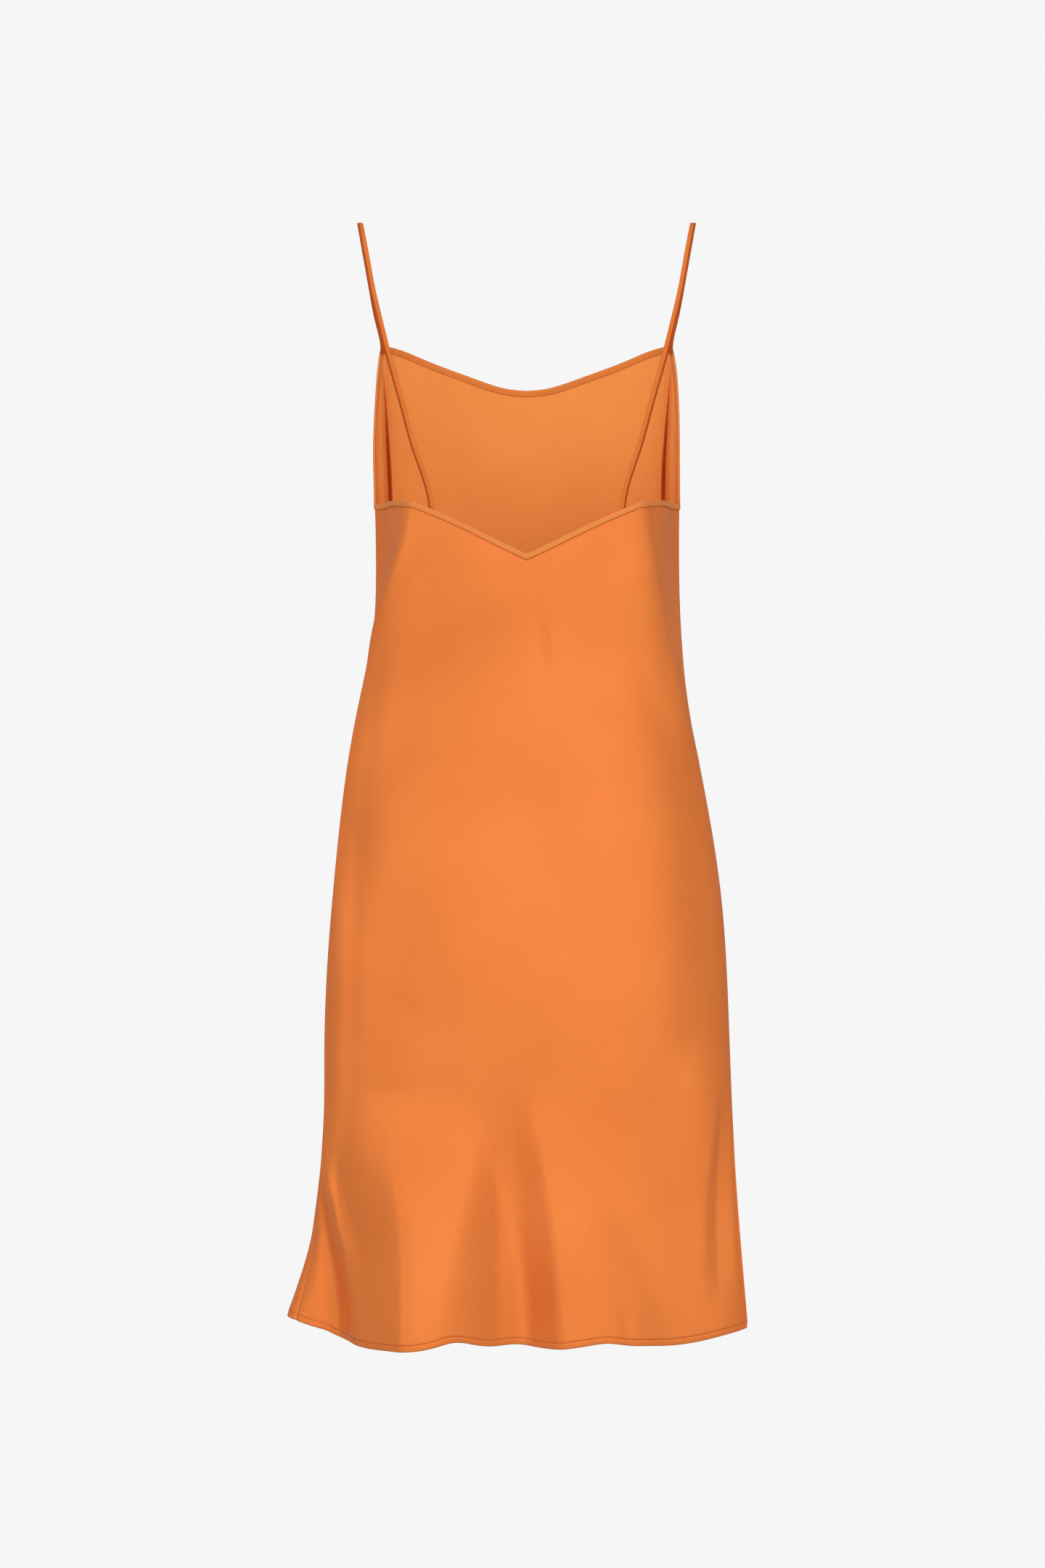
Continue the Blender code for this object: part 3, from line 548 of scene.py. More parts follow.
def fold_rise(angle, drop):
    """How far the folds move the surface outward and straight to the back."""
    total = {OUT: 0.0, BACK: 0.0}
    for fold, (middle, before, after, rise) in FOLD_CURVES:
        away = around(angle - middle(drop))
        spread = np.where(away < 0, before(drop), after(drop))
        crest = np.where(away < 0, fold.crest_before, fold.crest_after)
        share = np.maximum(np.abs(away / spread) - fold.flat, 0) / (1 - fold.flat)
        share = (np.hypot(share, ROUND) - ROUND) / (math.hypot(1, ROUND) - ROUND)
        inside = 1 - share**crest
        height = (inside + np.sqrt(inside**2 + fold.soft**2)) / (1 + math.hypot(1, fold.soft))
        total[fold.way] = total[fold.way] + rise(drop) * height
    return total[OUT], total[BACK]


def crease_rise(angle, drop):
    """How far the shallow creases move the surface outward."""
    total = 0.0
    for row in CREASES:
        run = (row.to_angle - row.angle) * DEGREE
        fall = row.to_drop - row.drop
        length = math.hypot(run, fall)
        across = around(angle - row.angle) * DEGREE
        down = drop - row.drop
        share = np.clip((across * run + down * fall) / length**2, 0, 1)
        off = (across * fall - down * run) / length / row.reach
        total = total + row.rise * np.sin(np.pi * share) ** 2 * np.exp(-(off**2))
    return total


def surface(angle, drop, out=0.0):
    """Points of the dress's outer surface, moved outward by `out`, in a last axis of 3."""
    angle, drop, out = np.broadcast_arrays(np.asarray(angle, float), drop, out)
    cosine = np.cos(np.radians(angle))
    sine = np.sin(np.radians(angle))
    curves = SECTION_CURVES
    half_width = np.where(cosine > 0, curves["left"](drop), curves["right"](drop))
    depth = np.where(sine > 0, curves["back"](drop), curves["front"](drop))
    square = np.where(sine > 0, curves["back_square"](drop), curves["front_square"](drop))
    reach = (np.abs(cosine) ** square + np.abs(sine) ** square) ** (-1 / square)
    across = reach * cosine
    along = reach * sine
    normal_x = np.copysign(np.abs(across) ** (square - 1) / half_width, across)
    normal_y = np.copysign(np.abs(along) ** (square - 1) / depth, along)
    length = np.hypot(normal_x, normal_y)
    outward, backward = fold_rise(angle, drop)
    move = (out + outward + crease_rise(angle, drop)) / length
    x = across * half_width + normal_x * move
    y = along * depth + normal_y * move + backward
    return np.stack([x, y, -drop], axis=-1)


def hem_drop(angle):
    """The hem's level at an angle."""
    start = HEM[0].angle
    return HEM_CURVE((angle - start) % 360 + start)


def turn_of(angle):
    """Degrees from the nearer side seam, minus to the front."""
    folded = around(angle)
    mirrored = np.where(folded > 0, 180 - folded, -180 - folded)
    return np.where(np.abs(folded) > 90, mirrored, folded)


def edge_drop(angle):
    """The drop of the finished upper edge at an angle."""
    turn = turn_of(angle)
    lower = np.where(turn > CORNER, BACK_NECK_CURVE(turn), ARMHOLE_CURVE(turn))
    return np.where(turn < APEX, FRONT_NECK_CURVE(turn), lower)


# ---------------------------------------------------------------- meshes


def link(made):
    bpy.context.scene.collection.objects.link(made)
    return made


def mesh_object(name, points, faces, uvs, material, smooth=True):
    """An object from arrays of points, four-cornered faces and a UV pair for each point."""
    mesh = bpy.data.meshes.new(name)
    mesh.from_pydata(points.tolist(), [], faces.tolist())
    if smooth:
        mesh.shade_smooth()
    layer = mesh.uv_layers.new(name="cloth")
    corners = np.empty(len(mesh.loops), np.int32)
    mesh.loops.foreach_get("vertex_index", corners)
    layer.data.foreach_set("uv", uvs[corners].astype(np.float32).ravel())
    mesh.materials.append(material)
    return link(bpy.data.objects.new(name, mesh))


def grid_faces(rows, columns, flip=False):
    """The faces of a grid of points, row by row."""
    first = (np.arange(rows - 1)[:, None] * columns + np.arange(columns - 1)).ravel()
    faces = np.stack([first, first + columns, first + columns + 1, first + 1], axis=-1)
    return faces[:, ::-1] if flip else faces


def grid_object(name, points, uvs, material, flip=False):
    """An object from a grid of points, with its UVs in a grid of the same size."""
    rows, columns = points.shape[:2]
    faces = grid_faces(rows, columns, flip)
    return mesh_object(name, points.reshape(-1, 3), faces, uvs.reshape(-1, 2), material)


def thicken(piece, thickness, offset, inner_material=None):
    """Gives a sheet its thickness, with another material on its inner side."""
    solid = piece.modifiers.new("thickness", "SOLIDIFY")
    solid.thickness = thickness
    solid.offset = offset
    if inner_material:
        piece.data.materials.append(inner_material)
        solid.material_offset = 1
    return piece


# ---------------------------------------------------------------- node materials


def node(tree, kind, **values):
    """A node with its settings and the values of its inputs."""
    made = tree.nodes.new(kind)
    for key, value in values.items():
        if hasattr(made, key):
            setattr(made, key, value)
        else:
            made.inputs[key.replace("_", " ")].default_value = value
    return made


GRAIN = 0.0001            # height of the slubs
SLUBS = 330.0             # slubs to the metre along the thread
SLUB_STRETCH = 3.2        # how much closer together they lie across it
BIAS = 45                 # the thread's angle to the grain of the dress, in degrees
CLOUDS = 9.0              # the broad, faint patches to the metre
CLOUD_SHARE = 0.35        # their share in the colour's variation
ROUGHNESS_RANGE = 0.03
SHEEN_TINT = (1.0, 0.55, 0.35, 1.0)
GLOSS_TINT = (1.0, 0.42, 0.16, 1.0)


def satin(name, colour, shade, roughness, metallic, sheen, grain=GRAIN):
    """Satin: a fine grain of slubs along the bias, in colour, gloss and height. Its gloss takes
    the colour of the thread, so part of it is metallic."""
    made = bpy.data.materials.new(name)
    made.use_nodes = True
    tree = made.node_tree
    shader = tree.nodes["Principled BSDF"]
    shader.inputs["Metallic"].default_value = metallic
    shader.inputs["Sheen Weight"].default_value = sheen
    shader.inputs["Sheen Roughness"].default_value = 0.4
    shader.inputs["Sheen Tint"].default_value = SHEEN_TINT
    shader.inputs["Specular IOR Level"].default_value = 0.2
    shader.inputs["Specular Tint"].default_value = GLOSS_TINT
    place = node(tree, "ShaderNodeTexCoord")
    turned = node(tree, "ShaderNodeMapping")
    turned.inputs["Rotation"].default_value = (0.0, 0.0, math.radians(BIAS))
    turned.inputs["Scale"].default_value = (1.0, SLUB_STRETCH, 1.0)
    slubs = node(tree, "ShaderNodeTexNoise", Scale=SLUBS, Detail=4.0, Roughness=0.75)
    cloud = node(tree, "ShaderNodeTexNoise", Scale=CLOUDS, Detail=2.0)
    both = node(tree, "ShaderNodeMix", data_type="FLOAT")
    both.inputs["Factor"].default_value = CLOUD_SHARE
    mix = node(tree, "ShaderNodeMix", data_type="RGBA")
    mix.inputs["A"].default_value = (*shade, 1)
    mix.inputs["B"].default_value = (*colour, 1)
    amount = node(tree, "ShaderNodeMapRange", From_Min=0.35, From_Max=0.65)
    gloss = node(tree, "ShaderNodeMapRange", From_Min=0.3, From_Max=0.7)
    gloss.inputs["To Min"].default_value = roughness - ROUGHNESS_RANGE
    gloss.inputs["To Max"].default_value = roughness + ROUGHNESS_RANGE
    bump = node(tree, "ShaderNodeBump", Strength=0.35, Distance=grain)
    wire = tree.links.new
    wire(place.outputs["UV"], turned.inputs["Vector"])
    wire(turned.outputs["Vector"], slubs.inputs["Vector"])
    wire(place.outputs["UV"], cloud.inputs["Vector"])
    wire(slubs.outputs["Fac"], both.inputs["A"])
    wire(cloud.outputs["Fac"], both.inputs["B"])
    wire(both.outputs["Result"], amount.inputs["Value"])
    wire(amount.outputs["Result"], mix.inputs["Factor"])
    wire(mix.outputs["Result"], shader.inputs["Base Color"])
    wire(slubs.outputs["Fac"], gloss.inputs["Value"])
    wire(gloss.outputs["Result"], shader.inputs["Roughness"])
    wire(slubs.outputs["Fac"], bump.inputs["Height"])
    wire(bump.outputs["Normal"], shader.inputs["Normal"])
    return made


# `colour` is where the slubs are light and `shade` where they are dark.
FACE = satin(
    "satin_face",
    colour=(0.825, 0.230, 0.0535),
    shade=(0.725, 0.181, 0.0395),
    roughness=0.42,
    metallic=0.35,
    sheen=0.03,
)
# The satin's wrong side: its own duller tone, made lighter than the face as painted light that
# brightens the inside of the dress.
WRONG_SIDE_PAINTED_LIGHT = satin(
    "satin_wrong_side_painted_light",
    colour=(0.925, 0.332, 0.083),
    shade=(0.825, 0.265, 0.061),
    roughness=0.6,
    metallic=0.1,
    sheen=0.05,
)
TRIM = satin(
    "satin_trim",
    colour=(0.775, 0.250, 0.067),
    shade=(0.70, 0.213, 0.055),
    roughness=0.5,
    metallic=0.2,
    sheen=0.04,
)
STRAP = satin(
    "satin_strap",
    colour=(0.70, 0.175, 0.034),
    shade=(0.62, 0.147, 0.026),
    roughness=0.5,
    metallic=0.2,
    sheen=0.04,
)
# A darker colour on the strap's underside and round its outer edge: painted shade, not the cloth's
# own colour.
STRAP_PAINTED_SHADE = satin(
    "satin_strap_painted_shade",
    colour=(0.42, 0.075, 0.014),
    shade=(0.36, 0.06, 0.010),
    roughness=0.6,
    metallic=0.0,
    sheen=0.04,
)
TRIM_INSIDE = satin(
    "satin_trim_inside",
    colour=(0.73, 0.215, 0.048),
    shade=(0.66, 0.187, 0.040),
    roughness=0.5,
    metallic=0.1,
    sheen=0.04,
)
# Stitch thread, darker than the satin: partly the thread's own colour, partly painted shade of the
# ditches and grooves it lies in.
THREAD_AND_DITCH_SHADE = satin(
    "thread",
    colour=(0.50, 0.105, 0.018),
    shade=(0.42, 0.085, 0.014),
    roughness=0.6,
    metallic=0.0,
    sheen=0.2,
    grain=GRAIN / 2,
)


# ---------------------------------------------------------------- stitches

STITCH_PITCH = 0.0026
STITCH_HALF = 0.0010      # half a stitch's length
THREAD_RADIUS = 0.0003
STITCH_SIDES = 6
Bead = namedtuple("Bead", "along round")
STITCH_SHAPE = (
    Bead(-1.0, 0.1),
    Bead(-0.75, 0.85),
    Bead(0.0, 1.0),
    Bead(0.75, 0.85),
    Bead(1.0, 0.1),
)


def unit(vectors):
    return vectors / np.linalg.norm(vectors, axis=-1, keepdims=True)


def lengths_along(points):
    """The length of a line from its first point to each of its points."""
    return np.concatenate([[0], np.cumsum(np.linalg.norm(np.diff(points, axis=0), axis=1))])


def stitches(name, angles, drops, out):
    """A row of short stitches along a line on the cloth, given by angles and drops."""
    line = surface(angles, drops, out)
    lengths = lengths_along(line)
    at = np.arange(STITCH_PITCH, lengths[-1] - STITCH_PITCH, STITCH_PITCH)
    middle, before, after = (
        np.stack([np.interp(at + step, lengths, line[:, k]) for k in range(3)], axis=-1)
        for step in (0.0, -STITCH_HALF, STITCH_HALF)
    )
    ahead = unit(after - before)
    raised = surface(np.interp(at, lengths, angles), np.interp(at, lengths, drops), out + 0.001)
    up = raised - middle
    up = unit(up - ahead * (up * ahead).sum(axis=1, keepdims=True))
    across = np.cross(up, ahead)
    spin = np.radians(np.arange(STITCH_SIDES) * 360 / STITCH_SIDES)
    rings = []
    for bead in STITCH_SHAPE:
        centre = middle + ahead * STITCH_HALF * bead.along
        side = across[:, None] * np.cos(spin)[:, None] + up[:, None] * np.sin(spin)[:, None]
        rings.append(centre[:, None] + side * THREAD_RADIUS * bead.round)
    points = np.stack(rings, axis=1)
    beads = len(STITCH_SHAPE)
    ring = np.arange(beads - 1)[:, None] * STITCH_SIDES
    first = ring + np.arange(STITCH_SIDES)
    second = ring + np.roll(np.arange(STITCH_SIDES), -1)
    faces = np.stack([first, first + STITCH_SIDES, second + STITCH_SIDES, second], axis=-1)
    starts = np.arange(len(at)) * beads * STITCH_SIDES
    faces = (faces.reshape(1, -1, 4) + starts[:, None, None]).reshape(-1, 4)
    points = points.reshape(-1, 3)
    uvs = np.stack([points[:, 0] + points[:, 1], points[:, 2]], axis=-1)
    piece = mesh_object(name, points, faces, uvs, THREAD_AND_DITCH_SHADE)
    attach(piece, "root")
    return piece


# ---------------------------------------------------------------- panels


def panel_columns(start, corners, stop):
    """The angles of a panel's columns: closer together at each side seam and where the steep folds
    stand, with one at each corner."""
    near = np.array(SEAM_COLUMNS)
    fine = np.linspace(start + near[-1], stop - near[-1], 4001)
    density = np.ones_like(fine)
    for place in STEEP_PLACES:
        away = around(fine - place.angle) / place.reach
        density = density + STEEP_GAIN * np.exp(-(away**2))
    total = np.concatenate([[0], np.cumsum((density[1:] + density[:-1]) / 2)])
    angles = np.interp(np.linspace(0, total[-1], PANEL_COLUMNS), total, fine)
    for corner in corners:
        angles[np.argmin(np.abs(angles - corner))] = corner
    return np.concatenate([start + near[:-1], angles, (stop - near[:-1])[::-1]])


def toward_seams(angles, drops, start):
    """A panel's angles, moved so that its sides follow the side seams."""
    share = (angles - start) / 180
    left = SEAM_CURVES["left"](drops)
    right = SEAM_CURVES["right"](drops)
    first, last = (right, left) if start else (left, right)
    return angles + first + (last - first) * share


def panel(name, start, corners):
    """A panel from inside its bindings to its turned-up hem, between the two side seams."""
    angles = panel_columns(start, corners, start + 180)
    top = edge_drop(angles) + RAW
    bottom = hem_drop(angles)
    fall = np.linspace(0, 1, PANEL_ROWS)[:, None]
    drops = top + (bottom - HEM_START - top) * fall
    outs = np.full_like(drops, MIDDLE)
    hem_up = np.array(HEM_ROWS)
    face = bottom - hem_up[:, None]
    groove = -HEM_GROOVE * np.exp(-(((hem_up - HEM_STITCH) / HEM_GROOVE_REACH) ** 2))
    lean = -HEM_LEAN * np.maximum(1 - hem_up / HEM_STITCH, 0)
    face_out = (MIDDLE + groove + lean)[:, None] + 0 * angles
    under = bottom - np.array([turn.up for turn in HEM_TURN])[:, None]
    under_out = -np.array([turn.inside for turn in HEM_TURN])[:, None] * HEM_LAYER
    drops = np.concatenate([drops, face, under])
    outs = np.concatenate([outs, face_out, MIDDLE + under_out + 0 * angles])
    shifted = toward_seams(angles, drops, start)
    edge = np.minimum(angles - start, start + 180 - angles) * DEGREE
    outs = outs - SEAM_DIP * np.exp(-((edge / SEAM_REACH) ** 2))
    points = surface(shifted, drops, outs)
    uvs = np.stack([shifted * DEGREE, -drops], axis=-1)
    piece = grid_object(name, points, uvs, FACE)
    thicken(piece, CLOTH, 0.0, WRONG_SIDE_PAINTED_LIGHT)
    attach(piece, "root")
    return piece


front = panel("front_satin", 180.0, [180 - APEX, 270.0, 360 + APEX])
back = panel("back_satin", 0.0, [CORNER, 90.0, 180 - CORNER])
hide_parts("front_panel")
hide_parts("back_panel")


def hem_stitches(name, start):
    """The stitch line of a panel's hem."""
    angles = np.linspace(start, start + 180, 720)
    drops = hem_drop(angles) - HEM_STITCH
    return stitches(name, toward_seams(angles, drops, start), drops, MIDDLE)


front_hem_stitches = hem_stitches("front_hem_stitches", 180.0)
back_hem_stitches = hem_stitches("back_hem_stitches", 0.0)

# ---------------------------------------------------------------- the upper edge's bindings

EDGE_STEP = 0.0016        # about how far apart the loop's points are
LOOP_SAMPLES = 4000       # places tried on each stretch of the loop to space them


def edge_loop():
    """The finished upper edge as angles and drops, closed, from the left apex over the left
    armhole, the back and the right armhole to the front, and the places of its corners."""
    inside = np.linspace(1e-6, 1 - 1e-6, LOOP_SAMPLES)
    stretches = (
        ("left_apex", APEX, CORNER),
        ("left_corner", CORNER, 90.0),
        ("back_middle", 90.0, 180 - CORNER),
        ("right_corner", 180 - CORNER, 180 - APEX),
        ("right_apex", 180 - APEX, 270.0),
        ("front_middle", 270.0, 360 + APEX),
    )
    angles = []
    places = {}
    count = 0
    for name, start, stop in stretches:
        line = start + (stop - start) * inside
        points = surface(line, edge_drop(line))
        lengths = lengths_along(points)
        steps = round(lengths[-1] / EDGE_STEP)
        places[name] = count
        angles.append(np.interp(np.arange(steps) * lengths[-1] / steps, lengths, line))
        angles[-1][0] = start
        count += steps
    angles = np.concatenate(angles)
    return angles, edge_drop(angles), places


def apparent(points):
    """The angle of points about the middle of their own level's ring."""
    drop = -points[..., 2]
    curves = SECTION_CURVES
    half_width = np.where(points[..., 0] > 0, curves["left"](drop), curves["right"](drop))
    depth = np.where(points[..., 1] > 0, curves["back"](drop), curves["front"](drop))
    return np.degrees(np.arctan2(points[..., 1] / depth, points[..., 0] / half_width))


def place_of(points):
    """The angle and drop at which the surface passes nearest under points close to it."""
    drop = -points[:, 2]
    wanted = apparent(points)
    angle = wanted
    for _ in range(6):
        angle = angle + 0.8 * around(wanted - apparent(surface(angle, drop)))
    return angle, drop


LOOP_ANGLES, LOOP_DROPS, LOOP = edge_loop()


def lower_edge(height):
    """The loop moved down into the cloth by the binding's height, with mitred corners."""
    points = surface(LOOP_ANGLES, LOOP_DROPS)
    out = unit(surface(LOOP_ANGLES, LOOP_DROPS, 0.001) - points)
    ahead = unit(np.roll(points, -1, axis=0) - points)
    behind = np.roll(ahead, 1, axis=0)
    down_ahead = unit(np.cross(ahead, out))
    down_behind = unit(np.cross(behind, out))
    mitre = 1 + (down_ahead * down_behind).sum(axis=1, keepdims=True)
    moved = points + (down_ahead + down_behind) / mitre * height[:, None]
    return points, moved


BINDING_HEIGHTS = np.full(len(LOOP_ANGLES), BACK_BINDING)
SEAM_PLACES = [int(np.argmin(np.abs(around(LOOP_ANGLES - angle)))) for angle in (0, 180)]
BINDING_HEIGHTS[LOOP["right_apex"]:] = FRONT_BINDING
BINDING_HEIGHTS[:SEAM_PLACES[0]] = np.linspace(FRONT_BINDING, BACK_BINDING, SEAM_PLACES[0])
RIGHT_FRONT = LOOP["right_apex"] - SEAM_PLACES[1]
BINDING_HEIGHTS[SEAM_PLACES[1]:LOOP["right_apex"]] = np.linspace(
    BACK_BINDING, FRONT_BINDING, RIGHT_FRONT
)
EDGE_POINTS, LOWER_POINTS = lower_edge(BINDING_HEIGHTS)

# The binding's section, from the lower edge inside over the fold to the lower edge outside:
# `down` is the share of its height, `out` the distance from the cloth's middle.
Profile = namedtuple("Profile", "down out")
BINDING_PROFILE = (
    Profile(1.03, -0.0003),
    Profile(1.01, -0.0008),
    Profile(0.96, -0.0010),
    Profile(0.88, -0.0011),
    Profile(0.80, -0.0010),
    Profile(0.72, -0.0011),
    Profile(0.45, -0.0011),
    Profile(0.15, -0.0010),
    Profile(0.04, -0.0007),
    Profile(0.00, 0.0000),
    Profile(0.04, 0.0007),
    Profile(0.15, 0.0010),
    Profile(0.45, 0.0011),
    Profile(0.72, 0.0012),
    Profile(0.80, 0.0011),
    Profile(0.88, 0.0012),
    Profile(0.96, 0.0012),
    Profile(1.01, 0.0009),
    Profile(1.03, 0.0003),
)


def spaced(points, count):
    """Points evenly spaced along a line, and the places they have on it."""
    lengths = lengths_along(points)
    at = np.linspace(0, lengths[-1], count)
    return np.stack([np.interp(at, lengths, points[:, k]) for k in range(3)], axis=-1), at


DITCH = 1.07              # where the stitches run, just below a binding's lower edge
DITCH_OUTER = 0.0004      # how far out from the cloth's middle they lie on the outer side
DITCH_INNER = -0.0005     # and on the inner one
PUCKER = 0.08             # how much the stitches pucker a binding, as a share of its thickness
CORNER_TRIM = 0.97        # a mitred corner keeps the points at this share of the height or more
SIDE_SHIFT = 0.02         # how far apart the two sides lie in the weave


def binding(name, node_name, start, stop, height, material):
    """A folded strip over the edge, between two corners of the loop, with its stitches."""
    first, last = LOOP[start], LOOP[stop]
    total = len(EDGE_POINTS)
    order = np.arange(first, last + 1 + (total if last <= first else 0)) % total
    upper = EDGE_POINTS[order]
    lower = LOWER_POINTS[order]
    apart = np.linalg.norm(lower[:, None] - EDGE_POINTS[None], axis=2).min(axis=1)
    keep = apart > CORNER_TRIM * BINDING_HEIGHTS[order]
    keep[[0, -1]] = True
    count = len(order)
    top, at = spaced(upper, count)
    low, _ = spaced(lower[keep], count)
    rows = []
    uvs = []
    for row in BINDING_PROFILE:
        angle, drop = place_of(top + (low - top) * row.down)
        pucker = PUCKER * np.sin(at * 2100 + 3 * np.sin(at * 310)) * abs(row.out)
        rows.append(surface(angle, drop, MIDDLE + row.out + pucker))
        level = row.down * height + math.copysign(SIDE_SHIFT, row.out)
        uvs.append(np.stack([at, np.full(count, level)], axis=-1))
    piece = grid_object(name, np.array(rows), np.array(uvs), material, flip=True)
    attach(piece, "root")
    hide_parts(node_name)
    angle, drop = place_of(top + (low - top) * DITCH)
    thread = [stitches(f"{name}_stitches_outer", angle, drop, MIDDLE + DITCH_OUTER)]
    if material is TRIM:
        thread.append(
            stitches(f"{name}_stitches_inner", angle, drop, MIDDLE + DITCH_INNER)
        )
    return piece, thread, at[-1]


front_neck, front_neck_thread, front_neck_length = binding(
    "front_neck_trim", "front_neck_binding", "right_apex", "left_apex", FRONT_BINDING, TRIM_INSIDE
)
back_neck, back_neck_thread, back_neck_length = binding(
    "back_neck_trim", "back_neck_binding", "left_corner", "right_corner", BACK_BINDING, TRIM
)
armhole_left, armhole_left_thread, armhole_left_length = binding(
    "armhole_trim_left", "armhole_binding_left", "left_apex", "left_corner", BACK_BINDING, TRIM
)
armhole_right, armhole_right_thread, armhole_right_length = binding(
    "armhole_trim_right", "armhole_binding_right", "right_corner", "right_apex", BACK_BINDING, TRIM
)


# ---------------------------------------------------------------- straps


def strap_end(side, curve, turn, twist):
    """Two stations of the strap's end, behind the finished edge: near it and below it."""
    angle = turn if side > 0 else 180.0 - turn
    ends = []
    for tuck in (0.0, STRAP_TUCK):
        x, y, z = surface(angle, float(curve(turn)) + tuck, STRAP_INNER)
        ends.append(Station(abs(x), y, z, twist))
    return ends


def strap(name, node_name, side):
    """A flat turned tube, with its seam open along the underside."""
    front_end = strap_end(side, FRONT_NECK_CURVE, STRAP_FRONT_TURN, STRAP_FRONT_TWIST)
    back_end = strap_end(side, BACK_NECK_CURVE, STRAP_BACK_TURN, STRAP_BACK_TWIST)
    stations = np.array([front_end[1], front_end[0], *STRAP_FREE, *back_end], float)
    lengths = lengths_along(stations[:, :3])
    curves = [Spline(lengths, stations[:, k]) for k in range(4)]
    at = np.linspace(0, lengths[-1], STRAP_STATIONS)
    middle = np.stack([curve(at) for curve in curves[:3]], axis=-1)
    turn = np.radians(curves[3](at))
    ahead = unit(np.gradient(middle, axis=0))
    width = np.stack([np.cos(turn), np.sin(turn), 0 * turn], axis=-1)
    width = unit(width - ahead * (width * ahead).sum(axis=1, keepdims=True))
    face = np.cross(width, ahead)
    spin = np.radians(np.linspace(-90, 270, STRAP_SIDES))
    rows = []
    uvs = []
    for place, angle in enumerate(spin):
        cosine = math.cos(angle)
        sine = math.sin(angle)
        across = math.copysign(abs(cosine) ** STRAP_SQUARE, cosine) * STRAP_WIDTH / 2
        over = math.copysign(abs(sine) ** STRAP_FLAT, sine) * STRAP_WALL / 2
        wave = 1 + STRAP_WAVE * np.sin(at * 900 + angle * 2) * np.sin(at * 230 + 1)
        rows.append(middle + width * across + face * (over * wave)[:, None])
        uvs.append(np.stack([at, np.full(len(at), place * STRAP_WEAVE / STRAP_SIDES)], axis=-1))
    points = np.array(rows) * [side, 1, 1]
    piece = grid_object(name, points, np.array(uvs), STRAP, flip=side > 0)
    # The faces of the underside and round the outer edge take the darker colour: painted shade.
    piece.data.materials.append(STRAP_PAINTED_SHADE)
    under = np.degrees(spin[:-1]) % 360
    shaded = (under < STRAP_SHADED) | (under > STRAP_SHADED_FROM)
    slots = np.repeat(shaded.astype(np.int32), len(at) - 1)
    piece.data.polygons.foreach_set("material_index", slots)
    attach(piece, "root")
    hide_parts(node_name)
    return piece, float(lengths[-1])


strap_left, strap_length = strap("strap_tube_left", "strap_left", 1)
strap_right, _ = strap("strap_tube_right", "strap_right", -1)


# ---------------------------------------------------------------- each binding's stitches, taken as a list

for piece, thread, length, height in (
    (front_neck, front_neck_thread, front_neck_length, FRONT_BINDING),
    (back_neck, back_neck_thread, back_neck_length, BACK_BINDING),
    (armhole_left, armhole_left_thread, armhole_left_length, BACK_BINDING),
    (armhole_right, armhole_right_thread, armhole_right_length, BACK_BINDING),
):
    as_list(thread)

# ---------------------------------------------------------------- studio

CAMERA_PLACE = (0.0038, 3.5, -0.525)
CAMERA_LENS = 85.78
WORLD_LIGHT = 0.50
PALE = 0.922              # how bright the floor and wall are
FLOOR = -1.55
SWEEP_RADIUS = 9.0
SWEEP_COVE = 2.0
SWEEP_TOP = 7.0
SWEEP_SPINS = 73
COVE_STEPS = 12
AIM = Vector((0.0, 0.0, -0.55))

# Soft boxes on the camera's side: where each is seen from the dress, how far, its size and how
# bright its face is.
Light = namedtuple("Light", "name azimuth elevation distance width height radiance")
LIGHTS = (
    Light("front", -3, 10, 3.7, 3.4, 3.4, 1.08),
    Light("left", 51, 10, 3.7, 2.9, 3.4, 0.82),
    Light("left_side", 90, 9, 3.7, 2.2, 3.6, 0.06),
    Light("right", -38, 10, 3.7, 1.9, 3.4, 1.00),
    Light("top", 0, 62, 3.2, 3.2, 1.8, 1.45),
    Light("bounce", 0, -32, 2.9, 3.2, 1.2, 0.38),
)


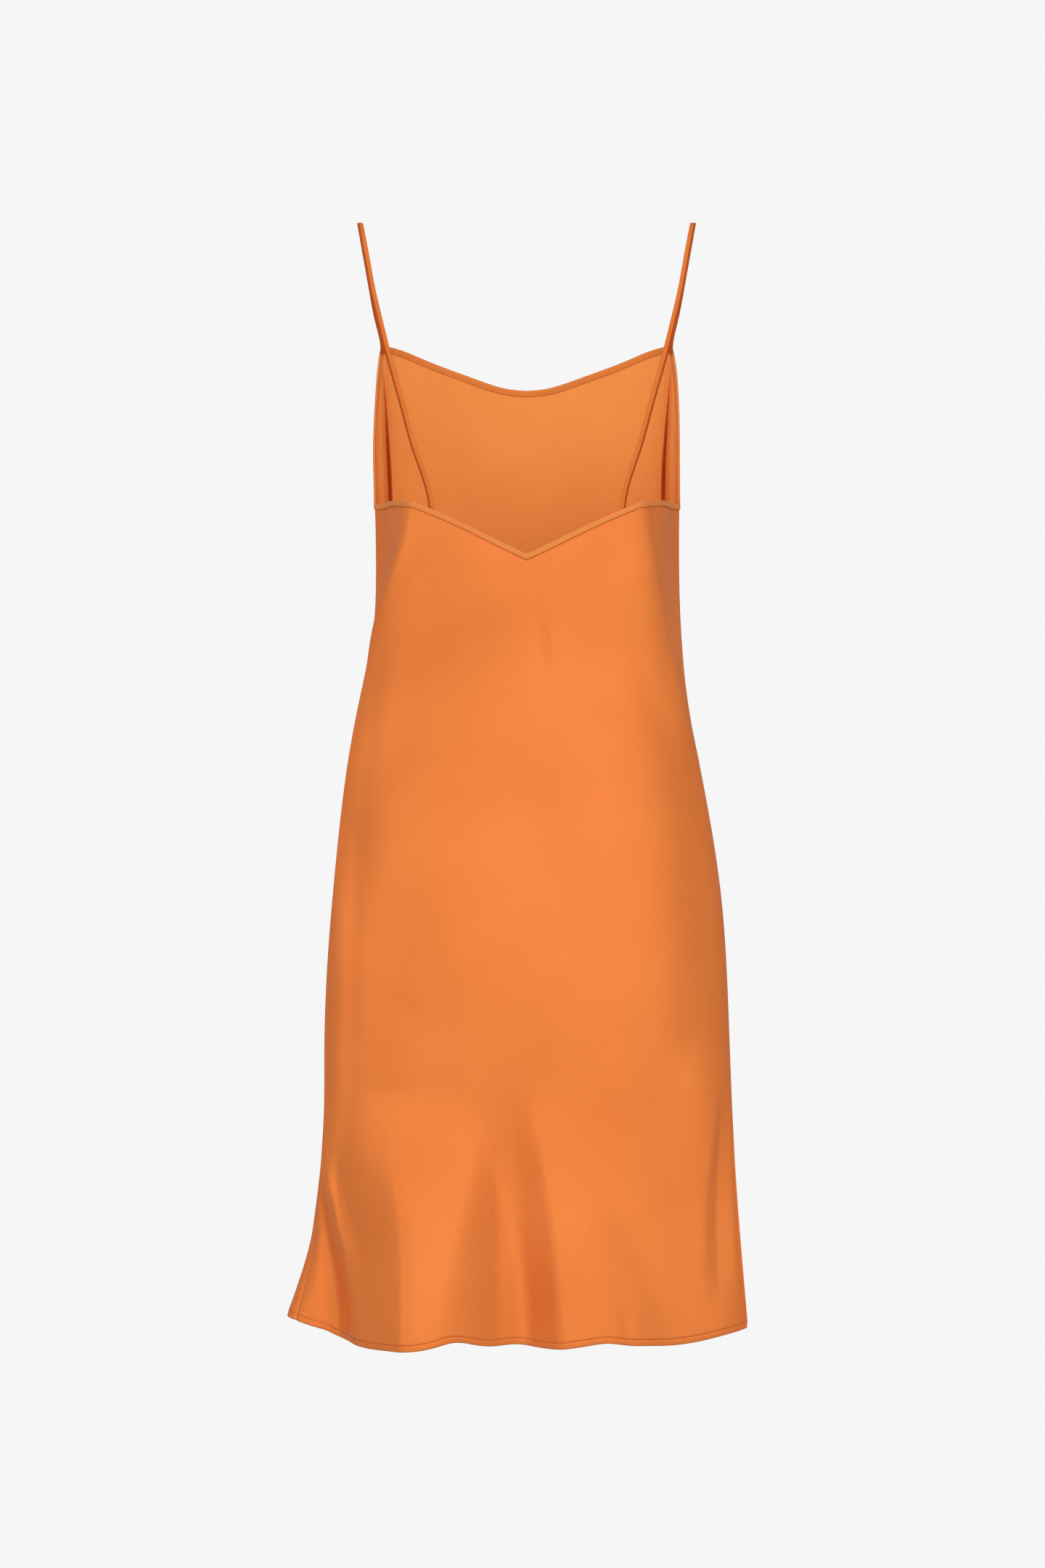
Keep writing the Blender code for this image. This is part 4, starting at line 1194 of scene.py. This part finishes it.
def pale_sweep():
    """A pale floor that rises in a cove to a wall all round. It lights nothing."""
    profile = [(0.0001, FLOOR), (SWEEP_RADIUS - SWEEP_COVE, FLOOR)]
    for step in range(1, COVE_STEPS + 1):
        angle = math.radians(90 * step / COVE_STEPS)
        reach = SWEEP_RADIUS - SWEEP_COVE * (1 - math.sin(angle))
        profile.append((reach, FLOOR + SWEEP_COVE * (1 - math.cos(angle))))
    profile.append((SWEEP_RADIUS, SWEEP_TOP))
    spins = np.radians(np.linspace(0, 360, SWEEP_SPINS))[:, None]
    reaches, levels = np.array(profile).T
    points = np.stack([reaches * np.cos(spins), reaches * np.sin(spins), levels + 0 * spins], axis=-1)
    material = bpy.data.materials.new("sweep")
    material.use_nodes = True
    shader = material.node_tree.nodes["Principled BSDF"]
    shader.inputs["Base Color"].default_value = (0.0, 0.0, 0.0, 1)
    shader.inputs["Roughness"].default_value = 1.0
    shader.inputs["Specular IOR Level"].default_value = 0.0
    shader.inputs["Emission Color"].default_value = (1.0, 1.0, 1.003, 1)
    shader.inputs["Emission Strength"].default_value = PALE
    sweep = grid_object("sweep", points, points[..., :2], material)
    sweep.visible_diffuse = False
    sweep.visible_glossy = False
    sweep.visible_shadow = False


def soft_box(row):
    """A soft box aimed at the dress, unseen by the camera."""
    data = bpy.data.lights.new(row.name, "AREA")
    data.shape = "RECTANGLE"
    data.size = row.width
    data.size_y = row.height
    data.energy = math.pi * row.width * row.height * row.radiance
    lamp = link(bpy.data.objects.new(row.name, data))
    azimuth = math.radians(row.azimuth)
    elevation = math.radians(row.elevation)
    level = row.distance * math.cos(elevation)
    rise = row.distance * math.sin(elevation)
    lamp.location = AIM + Vector((level * math.sin(azimuth), level * math.cos(azimuth), rise))
    lamp.visible_camera = False
    lamp.rotation_mode = "QUATERNION"
    lamp.rotation_quaternion = (AIM - lamp.location).to_track_quat("-Z", "Y")


def studio():
    """The floor and wall, the lights and the camera."""
    scene = bpy.context.scene
    scene.view_settings.view_transform = "Standard"
    world = bpy.data.worlds.new("studio")
    world.use_nodes = True
    world.node_tree.nodes["Background"].inputs["Color"].default_value = (1, 1, 1, 1)
    world.node_tree.nodes["Background"].inputs["Strength"].default_value = WORLD_LIGHT
    scene.world = world
    pale_sweep()
    for row in LIGHTS:
        soft_box(row)
    data = bpy.data.cameras.new("camera")
    data.lens = CAMERA_LENS
    camera = link(bpy.data.objects.new("camera", data))
    camera.location = CAMERA_PLACE
    camera.rotation_euler = (math.radians(90), 0, math.radians(180))
    scene.camera = camera


studio()
